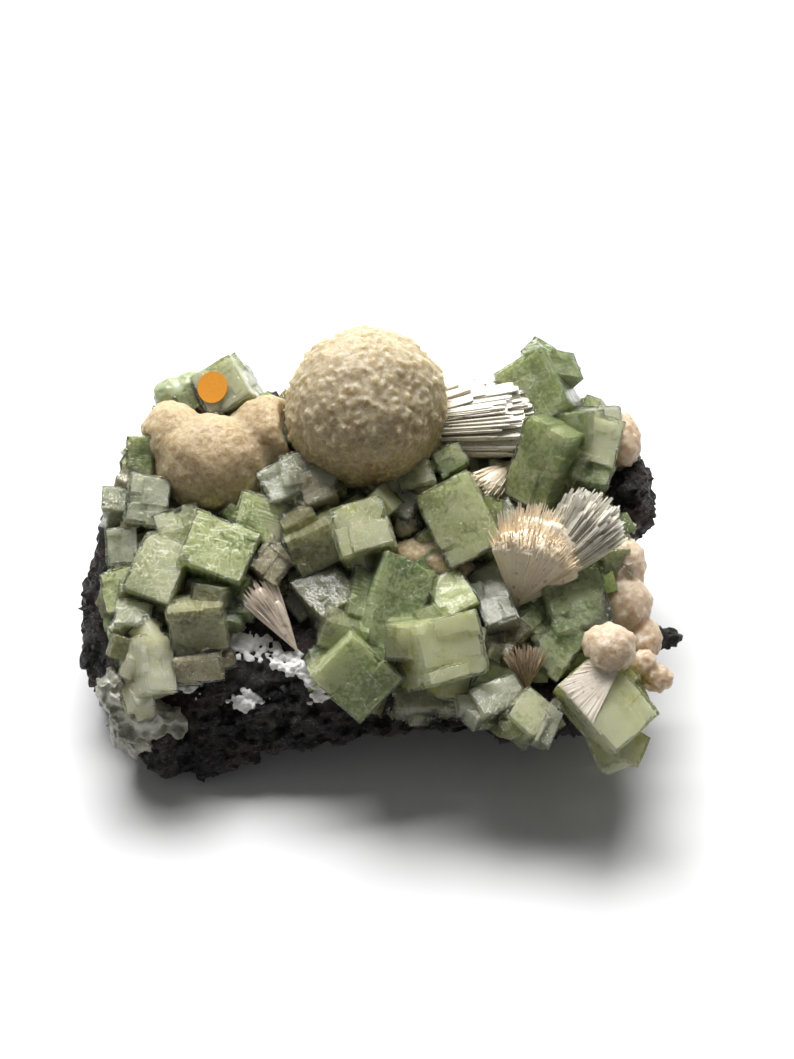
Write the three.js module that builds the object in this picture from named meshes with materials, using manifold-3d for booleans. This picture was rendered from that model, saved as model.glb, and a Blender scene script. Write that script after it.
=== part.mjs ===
// Apophyllite cluster: green apophyllite and tan stilbite grown on a block of dark vesicular basalt.
// Millimetres, +Z up. X runs along the block, -Y is its front, and the crystal bed slopes up to the back.
import * as THREE from 'three';
import { ConvexGeometry } from 'three/addons/geometries/ConvexGeometry.js';
import { mergeVertices } from 'three/addons/utils/BufferGeometryUtils.js';
import Module from 'manifold-3d';

const wasm = await Module();
wasm.setup();

// ---------------------------------------------------------------- driving dimensions

const GAP = 0.3; // clearance between neighbouring pieces
const CORNER_NIP = 0.13; // share of a crystal's narrowest side that its corner faces take off
const ROOM_SAG = { 1: 0.07, 2: 0.035, 3: 0.02 }; // how far a unit ball's facets sag, by its detail
const SLAB = 400; // side of the cutting slabs, wider than the specimen

// The basalt block is the space inside these faces, each given by its outward normal and a point on it.
const MATRIX_CLEARANCE = 0.45; // measured away from the middle, so slanting faces keep GAP too
const MATRIX_CENTRE = [-5, -5, 20];
const MATRIX_DETAIL = 5;
const MATRIX_ROUNDING = 16; // a higher power gives sharper edges between the faces
// The bed that most crystals stand on: its height at a place on it, and how steeply it climbs to the back.
const BED = { point: [0, -18, 36.5], climb: 0.33 };
const MATRIX_FACES = {
  bed: { normal: [0, -0.33, 1], point: [0, -18, 39] },
  front: { normal: [0, -0.87, 0.49], point: [0, -51, 15] },
  frontLeft: { normal: [-0.79, -0.61, 0], point: [-72, -42, 15] },
  left: { normal: [-1, 0.08, -0.03], point: [-78, 0, 30] },
  leftShoulder: { normal: [-0.7, -0.1, 0.7], point: [-77, 0, 35] },
  backLeft: { normal: [-0.81, 0.58, 0], point: [-70, 24, 40] },
  back: { normal: [0, 1, 0], point: [0, 40, 20] },
  backShoulder: { normal: [0, 0.72, 0.69], point: [0, 25, 52] },
  backRight: { normal: [0.7, 0.7, 0], point: [64, 18, 40] },
  right: { normal: [0.94, 0, -0.34], point: [65, 0, 40] },
  rightFront: { normal: [0.95, -0.3, 0], point: [61, -15, 30] },
  base: { normal: [0, 0, -1], point: [0, 0, -1.2] },
};
const MATRIX_SWELLS = [
  { height: 2, across: 17 },
  { height: 1.5, across: 6 },
];

// Broken lumps that stand out of the block, and the hollow and pits in it.
const MATRIX_LUMPS = [
  { at: [58, 3, 37], radii: [6.5, 11, 9.5] },
  { at: [60.5, -29.5, 22.5], radii: [9, 4, 4] },
  { at: [46, 26, 44], radii: [7, 5, 5] },
  { at: [27, -51, 15.5], radii: [7, 4, 5] },
  { at: [-57, -50.5, 8], radii: [7, 6.5, 9] },
];
const ARCH = { at: [9, -62, -5], radii: [62, 60, 20], detail: 3, bump: 0.06, grain: 2.2 };
const MATRIX_PITS = [
  { at: [-40, -48, 19], radii: [3.2, 3.5, 2.6] },
  { at: [-27, -51, 17], radii: [2.6, 3, 2.2] },
  { at: [-24, -31, 35], radii: [5, 6, 5] },
  { at: [-77, 3, 22], radii: [3.5, 4, 3] },
  { at: [64, 12, 20], radii: [3.5, 4, 3.5] },
];

// Apophyllite: each crystal is a block with nipped corners, given by its middle, its sides and its turn in
// degrees about X, Y and Z. The last side is the one that runs out of the bed, and each crystal ends at the
// block that it stands on. Crystals listed together have grown into one another.
const APOPHYLLITE = {
  apophyllite_centre_bank: [
    { at: [-8, -15, 46], size: [13, 11.5, 15], turn: [25, -5, 15] },
    { at: [-20.5, -13, 42.5], size: [12.5, 10, 16], turn: [60, 10, 25] },
    { at: [-26.5, -0.5, 46.5], size: [12, 9, 12], turn: [15, 0, 25] },
    { at: [-19.5, -3, 46.5], size: [7.5, 8.5, 12], turn: [15, 0, 20] },
    { at: [-15, 1.5, 46.5], size: [7, 7, 10], turn: [25, 10, -30] },
  ],
  apophyllite_centre_right: [{ at: [16, -10, 44.5], size: [18.5, 14, 16], turn: [35, -10, -65] }],
  apophyllite_left_bank: [
    { at: [-43, -17, 39], size: [15.5, 13, 18], turn: [20, 5, -20] },
    { at: [-34.5, -8.5, 41], size: [12.5, 11, 16], turn: [25, 15, -15] },
    { at: [-57, -21, 37.5], size: [11.5, 15, 14], turn: [20, 0, -20] },
    { at: [-47.5, -30.5, 34], size: [12.5, 11, 18], turn: [60, 5, 5] },
    { at: [-30.5, -19.5, 38.5], size: [8, 8.5, 12], turn: [20, 10, -35] },
    { at: [-53, -9.5, 40], size: [10.5, 9, 12], turn: [25, 5, 20] },
  ],
  apophyllite_small_centre: [
    { at: [-4.5, 1, 45], size: [10.5, 9, 12], turn: [20, 0, -40] },
    { at: [1, -5, 44], size: [7.5, 7, 10], turn: [20, 0, -30] },
  ],
  apophyllite_dark_back: [{ at: [7, 7, 45], size: [8.5, 6, 10], turn: [25, 0, 10] }],
  apophyllite_right_large: [
    { at: [39, 5.5, 50], size: [11.5, 19.5, 20], turn: [50, -35, -20] },
    { at: [48.5, 9.5, 51], size: [10, 11, 14], turn: [30, 5, -15] },
    { at: [47, 2, 47.5], size: [9.5, 6.5, 12], turn: [25, 5, -20] },
    { at: [48.5, 18, 50], size: [15, 6, 12], turn: [30, -5, 0] },
  ],
  apophyllite_grey_small: [{ at: [27.5, -7, 41.5], size: [5, 7.5, 10], turn: [25, -5, 35] }],
  apophyllite_pale_block: [
    { at: [23.5, -28, 34], size: [7.5, 15.5, 12.5], turn: [5, -10, -165] },
    { at: [25.5, -19.5, 35.5], size: [8.5, 7, 9], turn: [15, 10, 35] },
    { at: [25.5, -36, 30.5], size: [8, 8, 9], turn: [15, -10, 60] },
  ],
  apophyllite_front_bank: [
    { at: [9.5, -41.5, 34.5], size: [15.5, 14, 18], turn: [30, 20, 15] },
    { at: [-3, -28, 35.5], size: [13, 21, 18], turn: [40, 20, -20] },
    { at: [-10.5, -44, 31.5], size: [16, 13.5, 14], turn: [55, 10, -45] },
    { at: [-16.5, -27.5, 36.5], size: [11, 12.5, 9.5], turn: [0, -5, -145] },
    { at: [13, -28, 34.5], size: [9.5, 10, 14], turn: [10, 0, 30] },
  ],
  apophyllite_corner_right: [{ at: [48.5, -51.5, 27.5], size: [20, 14, 18], turn: [25, 0, -50] }],
  apophyllite_right_middle: [
    { at: [42, -27.5, 32.5], size: [14, 13.5, 16], turn: [20, 5, 15] },
    { at: [38.5, -37.5, 30], size: [8.5, 12.5, 12], turn: [30, -5, -40] },
    { at: [33.5, -31, 31], size: [8.5, 7.5, 10], turn: [25, 5, 40] },
  ],
  apophyllite_front_plates: [
    { at: [23, -51.5, 29], size: [11.5, 7, 8], turn: [10, 10, 25] },
    { at: [30, -54, 25.5], size: [9, 8.5, 12], turn: [20, 10, -40] },
    { at: [34.5, -57.5, 27], size: [3.5, 9, 6], turn: [25, 10, -25] },
  ],
  apophyllite_left_small: [
    { at: [-63, -31.5, 33.5], size: [8, 6.5, 10], turn: [10, 5, -5] },
    { at: [-66, -24, 34.5], size: [8, 9.5, 10], turn: [25, -5, 15] },
  ],
  apophyllite_brown_foot: [{ at: [-47, -41.5, 30], size: [11, 6, 10], turn: [55, 5, 5] }],
  apophyllite_corner_left: [{ at: [-59.5, -43.5, 30.5], size: [7.5, 13.5, 14], turn: [20, 35, 10] }],
  apophyllite_milky_left: [
    { at: [-62, -3.5, 42.5], size: [9.5, 11.5, 14], turn: [25, 10, -5] },
    { at: [-69.5, -2.5, 42], size: [6, 6, 10], turn: [20, 5, 0] },
  ],
  apophyllite_milky_edge: [{ at: [-66.5, -13.5, 38.5], size: [7, 8.5, 10], turn: [30, -5, 5] }],
  apophyllite_green_edge: [{ at: [-63.5, 9.5, 46.5], size: [6.5, 11, 12], turn: [45, 0, 0] }],
  apophyllite_back_left: [{ at: [-42.5, 26.5, 53], size: [12, 12, 16], turn: [35, -15, 30] }],
  apophyllite_back_right: [{ at: [36, 22, 57.5], size: [12.5, 16, 15], turn: [40, -20, 30] }],
};

// Heulandite and quartz: clear to grey blocks and a lumpy crust low on the front.
const GREY_SLAB = [
  { at: [5, -47, 21.5], size: [11, 6, 8], turn: [15, 0, 5] },
  { at: [14.5, -47, 21.5], size: [9.5, 6.5, 8], turn: [15, 0, -5] },
];
const HEULANDITE_CRUST = [
  { at: [-60, -49, 13.5], radii: [10, 6, 9], detail: 1 },
  { at: [-65, -44.5, 23], radii: [7, 6, 6.5], detail: 1 },
];

// Stilbite: balls and crusts are lumps; sheaves are blades that spread from one point.
const BIG_BALL = [{ at: [-7.5, 15, 58.5], radii: [20.6, 20.6, 20.6], detail: 3, spikes: 0.06, bump: 0.02, grain: 3 }];
const LEFT_MASS = [
  { at: [-45.5, 6, 48], radii: [15.5, 12.5, 12.5], turn: [0, 0, -10] },
  { at: [-31.5, 13.5, 49.5], radii: [11.8, 11.3, 11.3], detail: 1 },
  { at: [-56, 13, 50], radii: [9, 10, 9.5], detail: 1 },
];
const CAP = [
  { at: [8, -18.3, 39.4], radii: [11, 6.2, 5.8], turn: [0, 0, -10], detail: 1 },
];
const CENTRE_TUFT = [{ at: [5.5, -2.5, 48.5], radii: [5, 2.8, 2.8], turn: [0, 0, -25], detail: 1 }];
const CENTRE_STUB = [{ at: [2, -10.5, 43.5], radii: [2.8, 2.4, 3.8], detail: 1 }];
const RIGHT_CRUST = [
  { at: [55, -16, 36], radii: [6, 8.5, 6.5], detail: 1 },
  { at: [55.5, -26, 32.5], radii: [6.5, 8, 7], detail: 1 },
  { at: [59.5, -33.5, 28.5], radii: [4.5, 6, 5], detail: 1 },
];
const CORNER_BALL = [{ at: [49, -44, 39.5], radii: [6.4, 6.2, 5.8], turn: [0, 0, 20], detail: 1 }];
const CORNER_LOBES = [
  { at: [58.5, -41.5, 30.5], radii: [3.2, 3, 3], detail: 1 },
  { at: [62, -44, 27.5], radii: [3.7, 3.4, 3.7], detail: 1 },
];
const BACK_RIGHT_CRUST = [{ at: [56.5, 13, 49.5], radii: [4.5, 8, 5.5], detail: 1 }];
const GREEN_KNOBS = [
  { at: [-57.5, 26, 52], radii: [5, 4.5, 5.5], detail: 1 },
  { at: [-53, 27.5, 53], radii: [4.5, 4.5, 5], detail: 1 },
];
const RIGHT_SHEAF = {
  at: [26.5, -30.5, 34],
  axis: [17.5, 15, 18],
  length: 34,
  spread: [31, 17],
  count: 10,
  blade: [4.6, 2],
  core: 0.66,
};
const SILVER_BLADES = {
  at: [9, 16.5, 52],
  axis: [24, -1, 4],
  length: 26,
  spread: [42, 20],
  count: 7,
  blade: [5, 2.8],
  core: 0.6,
};
const WHITE_SHEAF = {
  at: [30, 7, 48],
  axis: [-9, -8, 0.5],
  length: 15,
  spread: [28, 14],
  count: 3,
  blade: [3.2, 1.8],
  core: 0.7,
};
const PINK_SHEAF = {
  at: [-23.5, -39, 31],
  axis: [-9, 10.5, 9.5],
  length: 20,
  spread: [26, 9],
  count: 3,
  blade: [3.2, 1.3],
  core: 0.65,
};
const SMALL_SHEAF = {
  at: [30.5, -48, 28.5],
  axis: [-0.5, 6, 8.5],
  length: 10.5,
  spread: [24, 16],
  count: 3,
  blade: [2.4, 1.3],
  core: 0.65,
};

// Mordenite: chalky patches on the sloping front of the block.
const CHALK_LUMP = { turn: [30, 0, 0], detail: 1, bump: 0.2, spikes: 0.12 };
const MORDENITE = {
  mordenite_patch_left: [
    { at: [-34.8, -39.8, 35.2], radii: [6, 1.8, 2.6] },
  ],
  mordenite_patch_middle: [{ at: [-26.5, -42.3, 31.2], radii: [4.4, 2, 3.2] }],
  mordenite_patch_right: [
    { at: [-20.8, -44, 28.4], radii: [2.2, 1.8, 3] },
    { at: [-19.3, -45.8, 25], radii: [2.2, 1.8, 3.2] },
  ],
  mordenite_patch_low: [{ at: [-35.5, -47, 22.5], radii: [3, 1.7, 2.5] }],
  mordenite_patch_small: [{ at: [-49.3, -45.3, 25.3], radii: [2.2, 1.5, 1.4] }],
};

// A round paper dot on the front face of the back-left crystal.
const DOT = { diameter: 8, thickness: 0.3, offset: [-1.4, 0.6], lift: 0.2, sides: 20 };

// ---------------------------------------------------------------- materials

function finish(color, roughness) {
  return new THREE.MeshStandardMaterial({ color, roughness, metalness: 0 });
}

const BASALT = finish(0x241f20, 0.95);
const GREEN = finish(0x9db585, 0.18);
const CLEAR_GREY = finish(0xb9bdb4, 0.25);
const TAN = finish(0xcbb79c, 0.6);
const PINK_TAN = finish(0xd6bcaa, 0.6);
const SILVER = finish(0xd9d2c6, 0.35);
const CHALK = finish(0xf2f0ea, 0.95);
const ORANGE = finish(0xf09a25, 0.7);

// ---------------------------------------------------------------- geometry helpers

function vector(values) {
  return new THREE.Vector3(...values);
}

function turned(degrees) {
  return new THREE.Euler(...degrees.map(THREE.MathUtils.degToRad), 'XYZ');
}

// A whole-number lattice point gives the same number from 0 to 1 every time.
function latticeValue(x, y, z) {
  let mix = Math.imul(x, 374761393) + Math.imul(y, 668265263) + Math.imul(z, 1442695041);
  mix = Math.imul(mix ^ (mix >>> 13), 1274126177);
  return ((mix ^ (mix >>> 16)) >>> 0) / 4294967295;
}

// Smooth noise from -1 to 1 that changes over about one unit.
function noise(point) {
  const cell = [Math.floor(point.x), Math.floor(point.y), Math.floor(point.z)];
  const along = [point.x - cell[0], point.y - cell[1], point.z - cell[2]];
  const ease = along.map((t) => t * t * (3 - 2 * t));
  let sum = 0;
  for (let corner = 0; corner < 8; corner += 1) {
    const step = [corner & 1, (corner >> 1) & 1, (corner >> 2) & 1];
    const weight = step.reduce((product, s, i) => product * (s ? ease[i] : 1 - ease[i]), 1);
    sum += weight * latticeValue(cell[0] + step[0], cell[1] + step[1], cell[2] + step[2]);
  }
  return 2 * sum - 1;
}

function welded(geometry) {
  const bare = geometry.clone();
  bare.deleteAttribute('normal');
  bare.deleteAttribute('uv');
  return mergeVertices(bare, 1e-4);
}

function toSolid(geometry) {
  const { index, attributes } = welded(geometry);
  const vertProperties = new Float32Array(attributes.position.array);
  const triVerts = new Uint32Array(index.array);
  return new wasm.Manifold(new wasm.Mesh({ numProp: 3, vertProperties, triVerts }));
}

function toGeometry(solid) {
  const mesh = solid.getMesh();
  const geometry = new THREE.BufferGeometry();
  geometry.setAttribute('position', new THREE.BufferAttribute(mesh.vertProperties, 3));
  geometry.setIndex(new THREE.BufferAttribute(mesh.triVerts, 1));
  geometry.computeVertexNormals();
  return geometry;
}

function joined(solids) {
  return solids.reduce((whole, solid) => whole.add(solid));
}

// What a cut leaves behind may fall in two; the piece is the largest of them.
function largest(solid) {
  return solid.decompose().reduce((best, part) => (part.volume() > best.volume() ? part : best));
}

function eachVertex(geometry, move) {
  const position = geometry.attributes.position;
  const point = new THREE.Vector3();
  for (let i = 0; i < position.count; i += 1) {
    point.fromBufferAttribute(position, i);
    move(point, i);
    position.setXYZ(i, point.x, point.y, point.z);
  }
}

// ---------------------------------------------------------------- shapes; grow makes each one larger all round

// A block whose four outer corners are nipped off, as apophyllite's are.
function crystal({ at, size, turn }, grow = 0) {
  const half = size.map((side) => side / 2 + grow);
  const nip = CORNER_NIP * Math.min(...size);
  const points = [];
  for (const x of [-1, 1]) {
    for (const y of [-1, 1]) {
      points.push(new THREE.Vector3(x * half[0], y * half[1], -half[2]));
      points.push(new THREE.Vector3(x * (half[0] - nip), y * half[1], half[2]));
      points.push(new THREE.Vector3(x * half[0], y * (half[1] - nip), half[2]));
      points.push(new THREE.Vector3(x * half[0], y * half[1], half[2] - nip));
    }
  }
  const rotation = turned(turn);
  points.forEach((point) => point.applyEuler(rotation).add(vector(at)));
  return toSolid(new ConvexGeometry(points));
}

function crystals(list, grow = 0) {
  return joined(list.map((spec) => crystal(spec, grow)));
}

// A rounded mass with smooth bumps, and spikes where crystals end on its surface.
function lump({ at, radii, turn = [0, 0, 0], detail = 2, bump = 0.07, grain = 2.5, spikes = 0.04 }, grow = 0) {
  const geometry = welded(new THREE.IcosahedronGeometry(1, detail));
  const rotation = turned(turn);
  const shift = vector(at);
  eachVertex(geometry, (point, i) => {
    const seed = point.clone().multiplyScalar(grain).add(shift);
    const swell = 1 + bump * noise(seed) + spikes * (latticeValue(i, 7, 3) - 0.5);
    point.set(point.x * (radii[0] + grow), point.y * (radii[1] + grow), point.z * (radii[2] + grow));
    point.multiplyScalar(swell).applyEuler(rotation).add(shift);
  });
  return toSolid(geometry);
}

function lumps(list) {
  return joined(list.map((spec) => lump(spec)));
}

// The room a lump needs in softer pieces: the same form with fewer facets, grown until it clears them.
function lumpRoom(list) {
  return joined(
    list.map((spec) => {
      const { radii, detail = 2, spikes = 0.04 } = spec;
      const coarse = Math.max(1, Math.ceil(detail / 2));
      const facetSag = ROOM_SAG[coarse];
      const grow = GAP + (facetSag + spikes / 2) * Math.max(...radii);
      return lump({ ...spec, detail: coarse, spikes: 0 }, grow);
    }),
  );
}

// A flat blade along +Z: narrow at the root, widest near the end, with a chisel tip.
function bladePoints(root, length, width, thickness) {
  const sections = [
    { z: root, wide: 0.6 * width, thick: 0.7 * thickness },
    { z: 0.8 * length, wide: width, thick: thickness },
    { z: length, wide: 0.45 * width, thick: 0.3 * thickness },
  ];
  const points = [];
  for (const { z, wide, thick } of sections) {
    for (const side of [-0.5, 0.5]) {
      points.push(new THREE.Vector3(side * wide, thick / 2, z));
      points.push(new THREE.Vector3(side * wide, -thick / 2, z));
    }
  }
  return points;
}

// A round-topped cone from the origin along +Z that fills the closed lower part of a sheaf.
function corePoints(reach, spread) {
  const sides = 6;
  const slopes = spread.map((degrees) => Math.tan(THREE.MathUtils.degToRad(degrees)));
  const rings = [
    { out: 0.08, wide: 0.06 },
    { out: 0.75, wide: 0.7 },
    { out: 1, wide: 0.5 },
  ];
  const points = [];
  for (const { out, wide } of rings) {
    for (let i = 0; i < sides; i += 1) {
      const around = (2 * Math.PI * i) / sides;
      const x = slopes[0] * wide * reach * Math.cos(around);
      const y = slopes[1] * wide * reach * Math.sin(around);
      points.push(new THREE.Vector3(x, y, out * reach));
    }
  }
  return points;
}

// The points of each blade of a sheaf, spread about its axis, and of its core.
function sheafPoints({ at, axis, length, spread, count, blade, core }) {
  const along = vector(axis).normalize();
  const across = new THREE.Vector3(0, 0, 1).cross(along).normalize();
  const above = along.clone().cross(across);
  const basis = new THREE.Matrix4().makeBasis(across, above, along).setPosition(vector(at));
  const goldenAngle = Math.PI * (3 - Math.sqrt(5));
  const groups = [corePoints(core * length, spread)];
  for (let i = 0; i < count; i += 1) {
    const out = Math.sqrt((i + 0.5) / count);
    const tiltX = THREE.MathUtils.degToRad(spread[0]) * out * Math.cos(i * goldenAngle);
    const tiltY = THREE.MathUtils.degToRad(spread[1]) * out * Math.sin(i * goldenAngle);
    const reach = length * (1 - 0.2 * latticeValue(i, 11, count));
    const points = bladePoints(0.8 * core * length, reach, blade[0], blade[1]);
    points.forEach((point) => point.applyEuler(new THREE.Euler(-tiltY, tiltX, 0.5 * latticeValue(i, 5, 2))));
    groups.push(points);
  }
  groups.forEach((points) => points.forEach((point) => point.applyMatrix4(basis)));
  return groups;
}

function sheaf(spec) {
  return joined(sheafPoints(spec).map((points) => toSolid(new ConvexGeometry(points))));
}

// The room a sheaf needs in its neighbours: the hull of all its blades, grown from its middle.
function sheafRoom(spec) {
  const points = sheafPoints(spec).flat();
  const centre = new THREE.Box3().setFromPoints(points).getCenter(new THREE.Vector3());
  const grow = 2 * GAP;
  points.forEach((point) => point.addScaledVector(point.clone().sub(centre).normalize(), grow));
  return toSolid(new ConvexGeometry(points));
}

// How far the block reaches from its centre in a direction, its edges rounded between the faces.
function matrixReach(direction) {
  const centre = vector(MATRIX_CENTRE);
  let sum = 0;
  for (const { normal, point } of Object.values(MATRIX_FACES)) {
    const outward = vector(normal).normalize();
    const facing = outward.dot(direction);
    if (facing > 0) {
      const distance = outward.dot(vector(point).sub(centre)) / facing;
      sum += distance ** -MATRIX_ROUNDING;
    }
  }
  return sum ** (-1 / MATRIX_ROUNDING);
}

function roughBlock(grow) {
  const geometry = welded(new THREE.IcosahedronGeometry(1, MATRIX_DETAIL));
  const centre = vector(MATRIX_CENTRE);
  eachVertex(geometry, (point) => {
    const direction = point.clone().normalize();
    const place = direction.clone().multiplyScalar(matrixReach(direction)).add(centre);
    let swell = grow;
    for (const { height, across } of MATRIX_SWELLS) {
      swell += height * noise(place.clone().divideScalar(across));
    }
    point.copy(place).addScaledVector(direction, swell);
  });
  return toSolid(geometry);
}

// All that is above the bed, in a slab far wider than the block.
function aboveBed(grow) {
  const slab = new THREE.BoxGeometry(SLAB, SLAB, SLAB);
  slab.translate(0, 0, SLAB / 2);
  slab.rotateX(Math.atan(BED.climb));
  slab.translate(BED.point[0], BED.point[1], BED.point[2] + grow);
  return toSolid(slab);
}

// The block with the lumps broken out of it, cut along the bed.
function wholeBlock(grow) {
  const rough = MATRIX_LUMPS.map((spec) => lump({ ...spec, bump: 0.2, spikes: 0.16, detail: 1 }, grow));
  return roughBlock(grow).subtract(aboveBed(grow)).add(joined(rough));
}

// The block with its hollow and pits, cut flat where it stands.
function basalt() {
  const pits = lumps(MATRIX_PITS.map((spec) => ({ ...spec, detail: 1 })));
  const floor = toSolid(new THREE.BoxGeometry(SLAB, SLAB, SLAB).translate(0, 0, -SLAB / 2));
  return wholeBlock(0).subtract(lump(ARCH)).subtract(pits).subtract(floor);
}

// ---------------------------------------------------------------- the pieces, hardest first

const pieces = [];

// form builds a piece, and room builds what it keeps clear of the softer pieces after it.
function addPiece(name, material, form, room) {
  pieces.push({ name, material, form, room });
}

function addCrystals(name, material, list) {
  addPiece(name, material, () => crystals(list), () => crystals(list, GAP));
}

function addLumps(name, material, list) {
  addPiece(name, material, () => lumps(list), () => lumpRoom(list));
}

function addSheaf(name, material, spec) {
  addPiece(name, material, () => sheaf(spec), () => sheafRoom(spec));
}

addPiece('basalt_matrix', BASALT, basalt, () => wholeBlock(MATRIX_CLEARANCE));
Object.entries(APOPHYLLITE).forEach(([name, list]) => addCrystals(name, GREEN, list));
addCrystals('grey_clear_slab', CLEAR_GREY, GREY_SLAB);
addSheaf('stilbite_sheaf_right', PINK_TAN, RIGHT_SHEAF);
addSheaf('stilbite_sheaf_white', PINK_TAN, WHITE_SHEAF);
addSheaf('stilbite_sheaf_pink', PINK_TAN, PINK_SHEAF);
addSheaf('stilbite_sheaf_small', PINK_TAN, SMALL_SHEAF);
addLumps('stilbite_ball_large', TAN, BIG_BALL);
addSheaf('stilbite_blades_silver', SILVER, SILVER_BLADES);
addLumps('stilbite_mass_left', TAN, LEFT_MASS);
addLumps('stilbite_ball_corner', PINK_TAN, CORNER_BALL);
addLumps('stilbite_lobes_corner', PINK_TAN, CORNER_LOBES);
addLumps('stilbite_crust_right', PINK_TAN, RIGHT_CRUST);
addLumps('stilbite_crust_back_right', PINK_TAN, BACK_RIGHT_CRUST);
addLumps('stilbite_cap_centre', TAN, CAP);
addLumps('stilbite_tuft_centre', TAN, CENTRE_TUFT);
addLumps('stilbite_stub_centre', PINK_TAN, CENTRE_STUB);
addLumps('green_knobs_back_left', GREEN, GREEN_KNOBS);
addLumps('heulandite_crust_left', CLEAR_GREY, HEULANDITE_CRUST);
for (const [name, list] of Object.entries(MORDENITE)) {
  addLumps(name, CHALK, list.map((spec) => ({ ...CHALK_LUMP, ...spec })));
}

function overlapping(first, second) {
  return first.min.every((low, i) => low <= second.max[i] && second.min[i] <= first.max[i]);
}

const cluster = new THREE.Group();
const rooms = [];
for (const { name, material, form, room } of pieces) {
  let solid = form();
  for (const taken of rooms) {
    if (overlapping(taken.boundingBox(), solid.boundingBox())) {
      solid = solid.subtract(taken);
    }
  }
  const mesh = new THREE.Mesh(toGeometry(largest(solid)), material);
  mesh.name = name;
  cluster.add(mesh);
  rooms.push(room());
}

function paperDot() {
  const [host] = APOPHYLLITE.apophyllite_back_left;
  const out = host.size[2] / 2 + DOT.lift + DOT.thickness / 2;
  const disc = new THREE.CylinderGeometry(DOT.diameter / 2, DOT.diameter / 2, DOT.thickness, DOT.sides);
  disc.rotateX(Math.PI / 2);
  const mesh = new THREE.Mesh(disc, ORANGE);
  mesh.name = 'paper_dot';
  mesh.rotation.copy(turned(host.turn));
  mesh.position.set(DOT.offset[0], DOT.offset[1], out).applyEuler(mesh.rotation).add(vector(host.at));
  return mesh;
}

cluster.add(paperDot());

// The origin is the middle of the underside of the whole specimen's box.
const bounds = new THREE.Box3().setFromObject(cluster, true);
const middle = bounds.getCenter(new THREE.Vector3());
cluster.position.set(-middle.x, -middle.y, -bounds.min.z);

export default cluster;
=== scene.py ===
"""Dresses the apophyllite cluster: glassy green crystals, stilbite and basalt, and the studio round them."""

import math

import bmesh
import bpy
import numpy as np
from mathutils import Matrix, Vector
from mathutils.bvhtree import BVHTree


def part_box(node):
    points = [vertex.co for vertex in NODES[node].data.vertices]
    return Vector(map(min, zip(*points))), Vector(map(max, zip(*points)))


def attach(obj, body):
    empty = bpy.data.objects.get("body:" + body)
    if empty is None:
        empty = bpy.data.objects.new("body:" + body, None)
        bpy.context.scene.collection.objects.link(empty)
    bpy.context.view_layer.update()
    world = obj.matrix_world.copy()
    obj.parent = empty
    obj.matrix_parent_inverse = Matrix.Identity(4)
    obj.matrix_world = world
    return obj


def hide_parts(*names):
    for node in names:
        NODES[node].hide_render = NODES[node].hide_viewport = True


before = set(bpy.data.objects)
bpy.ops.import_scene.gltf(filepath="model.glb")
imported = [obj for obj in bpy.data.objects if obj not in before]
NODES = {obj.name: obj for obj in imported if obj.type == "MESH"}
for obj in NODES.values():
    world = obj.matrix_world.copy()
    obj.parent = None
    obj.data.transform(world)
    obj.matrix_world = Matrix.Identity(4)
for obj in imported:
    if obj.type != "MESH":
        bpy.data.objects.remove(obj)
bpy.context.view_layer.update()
MM = 0.001

# --- the crystals, in millimetres

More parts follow.
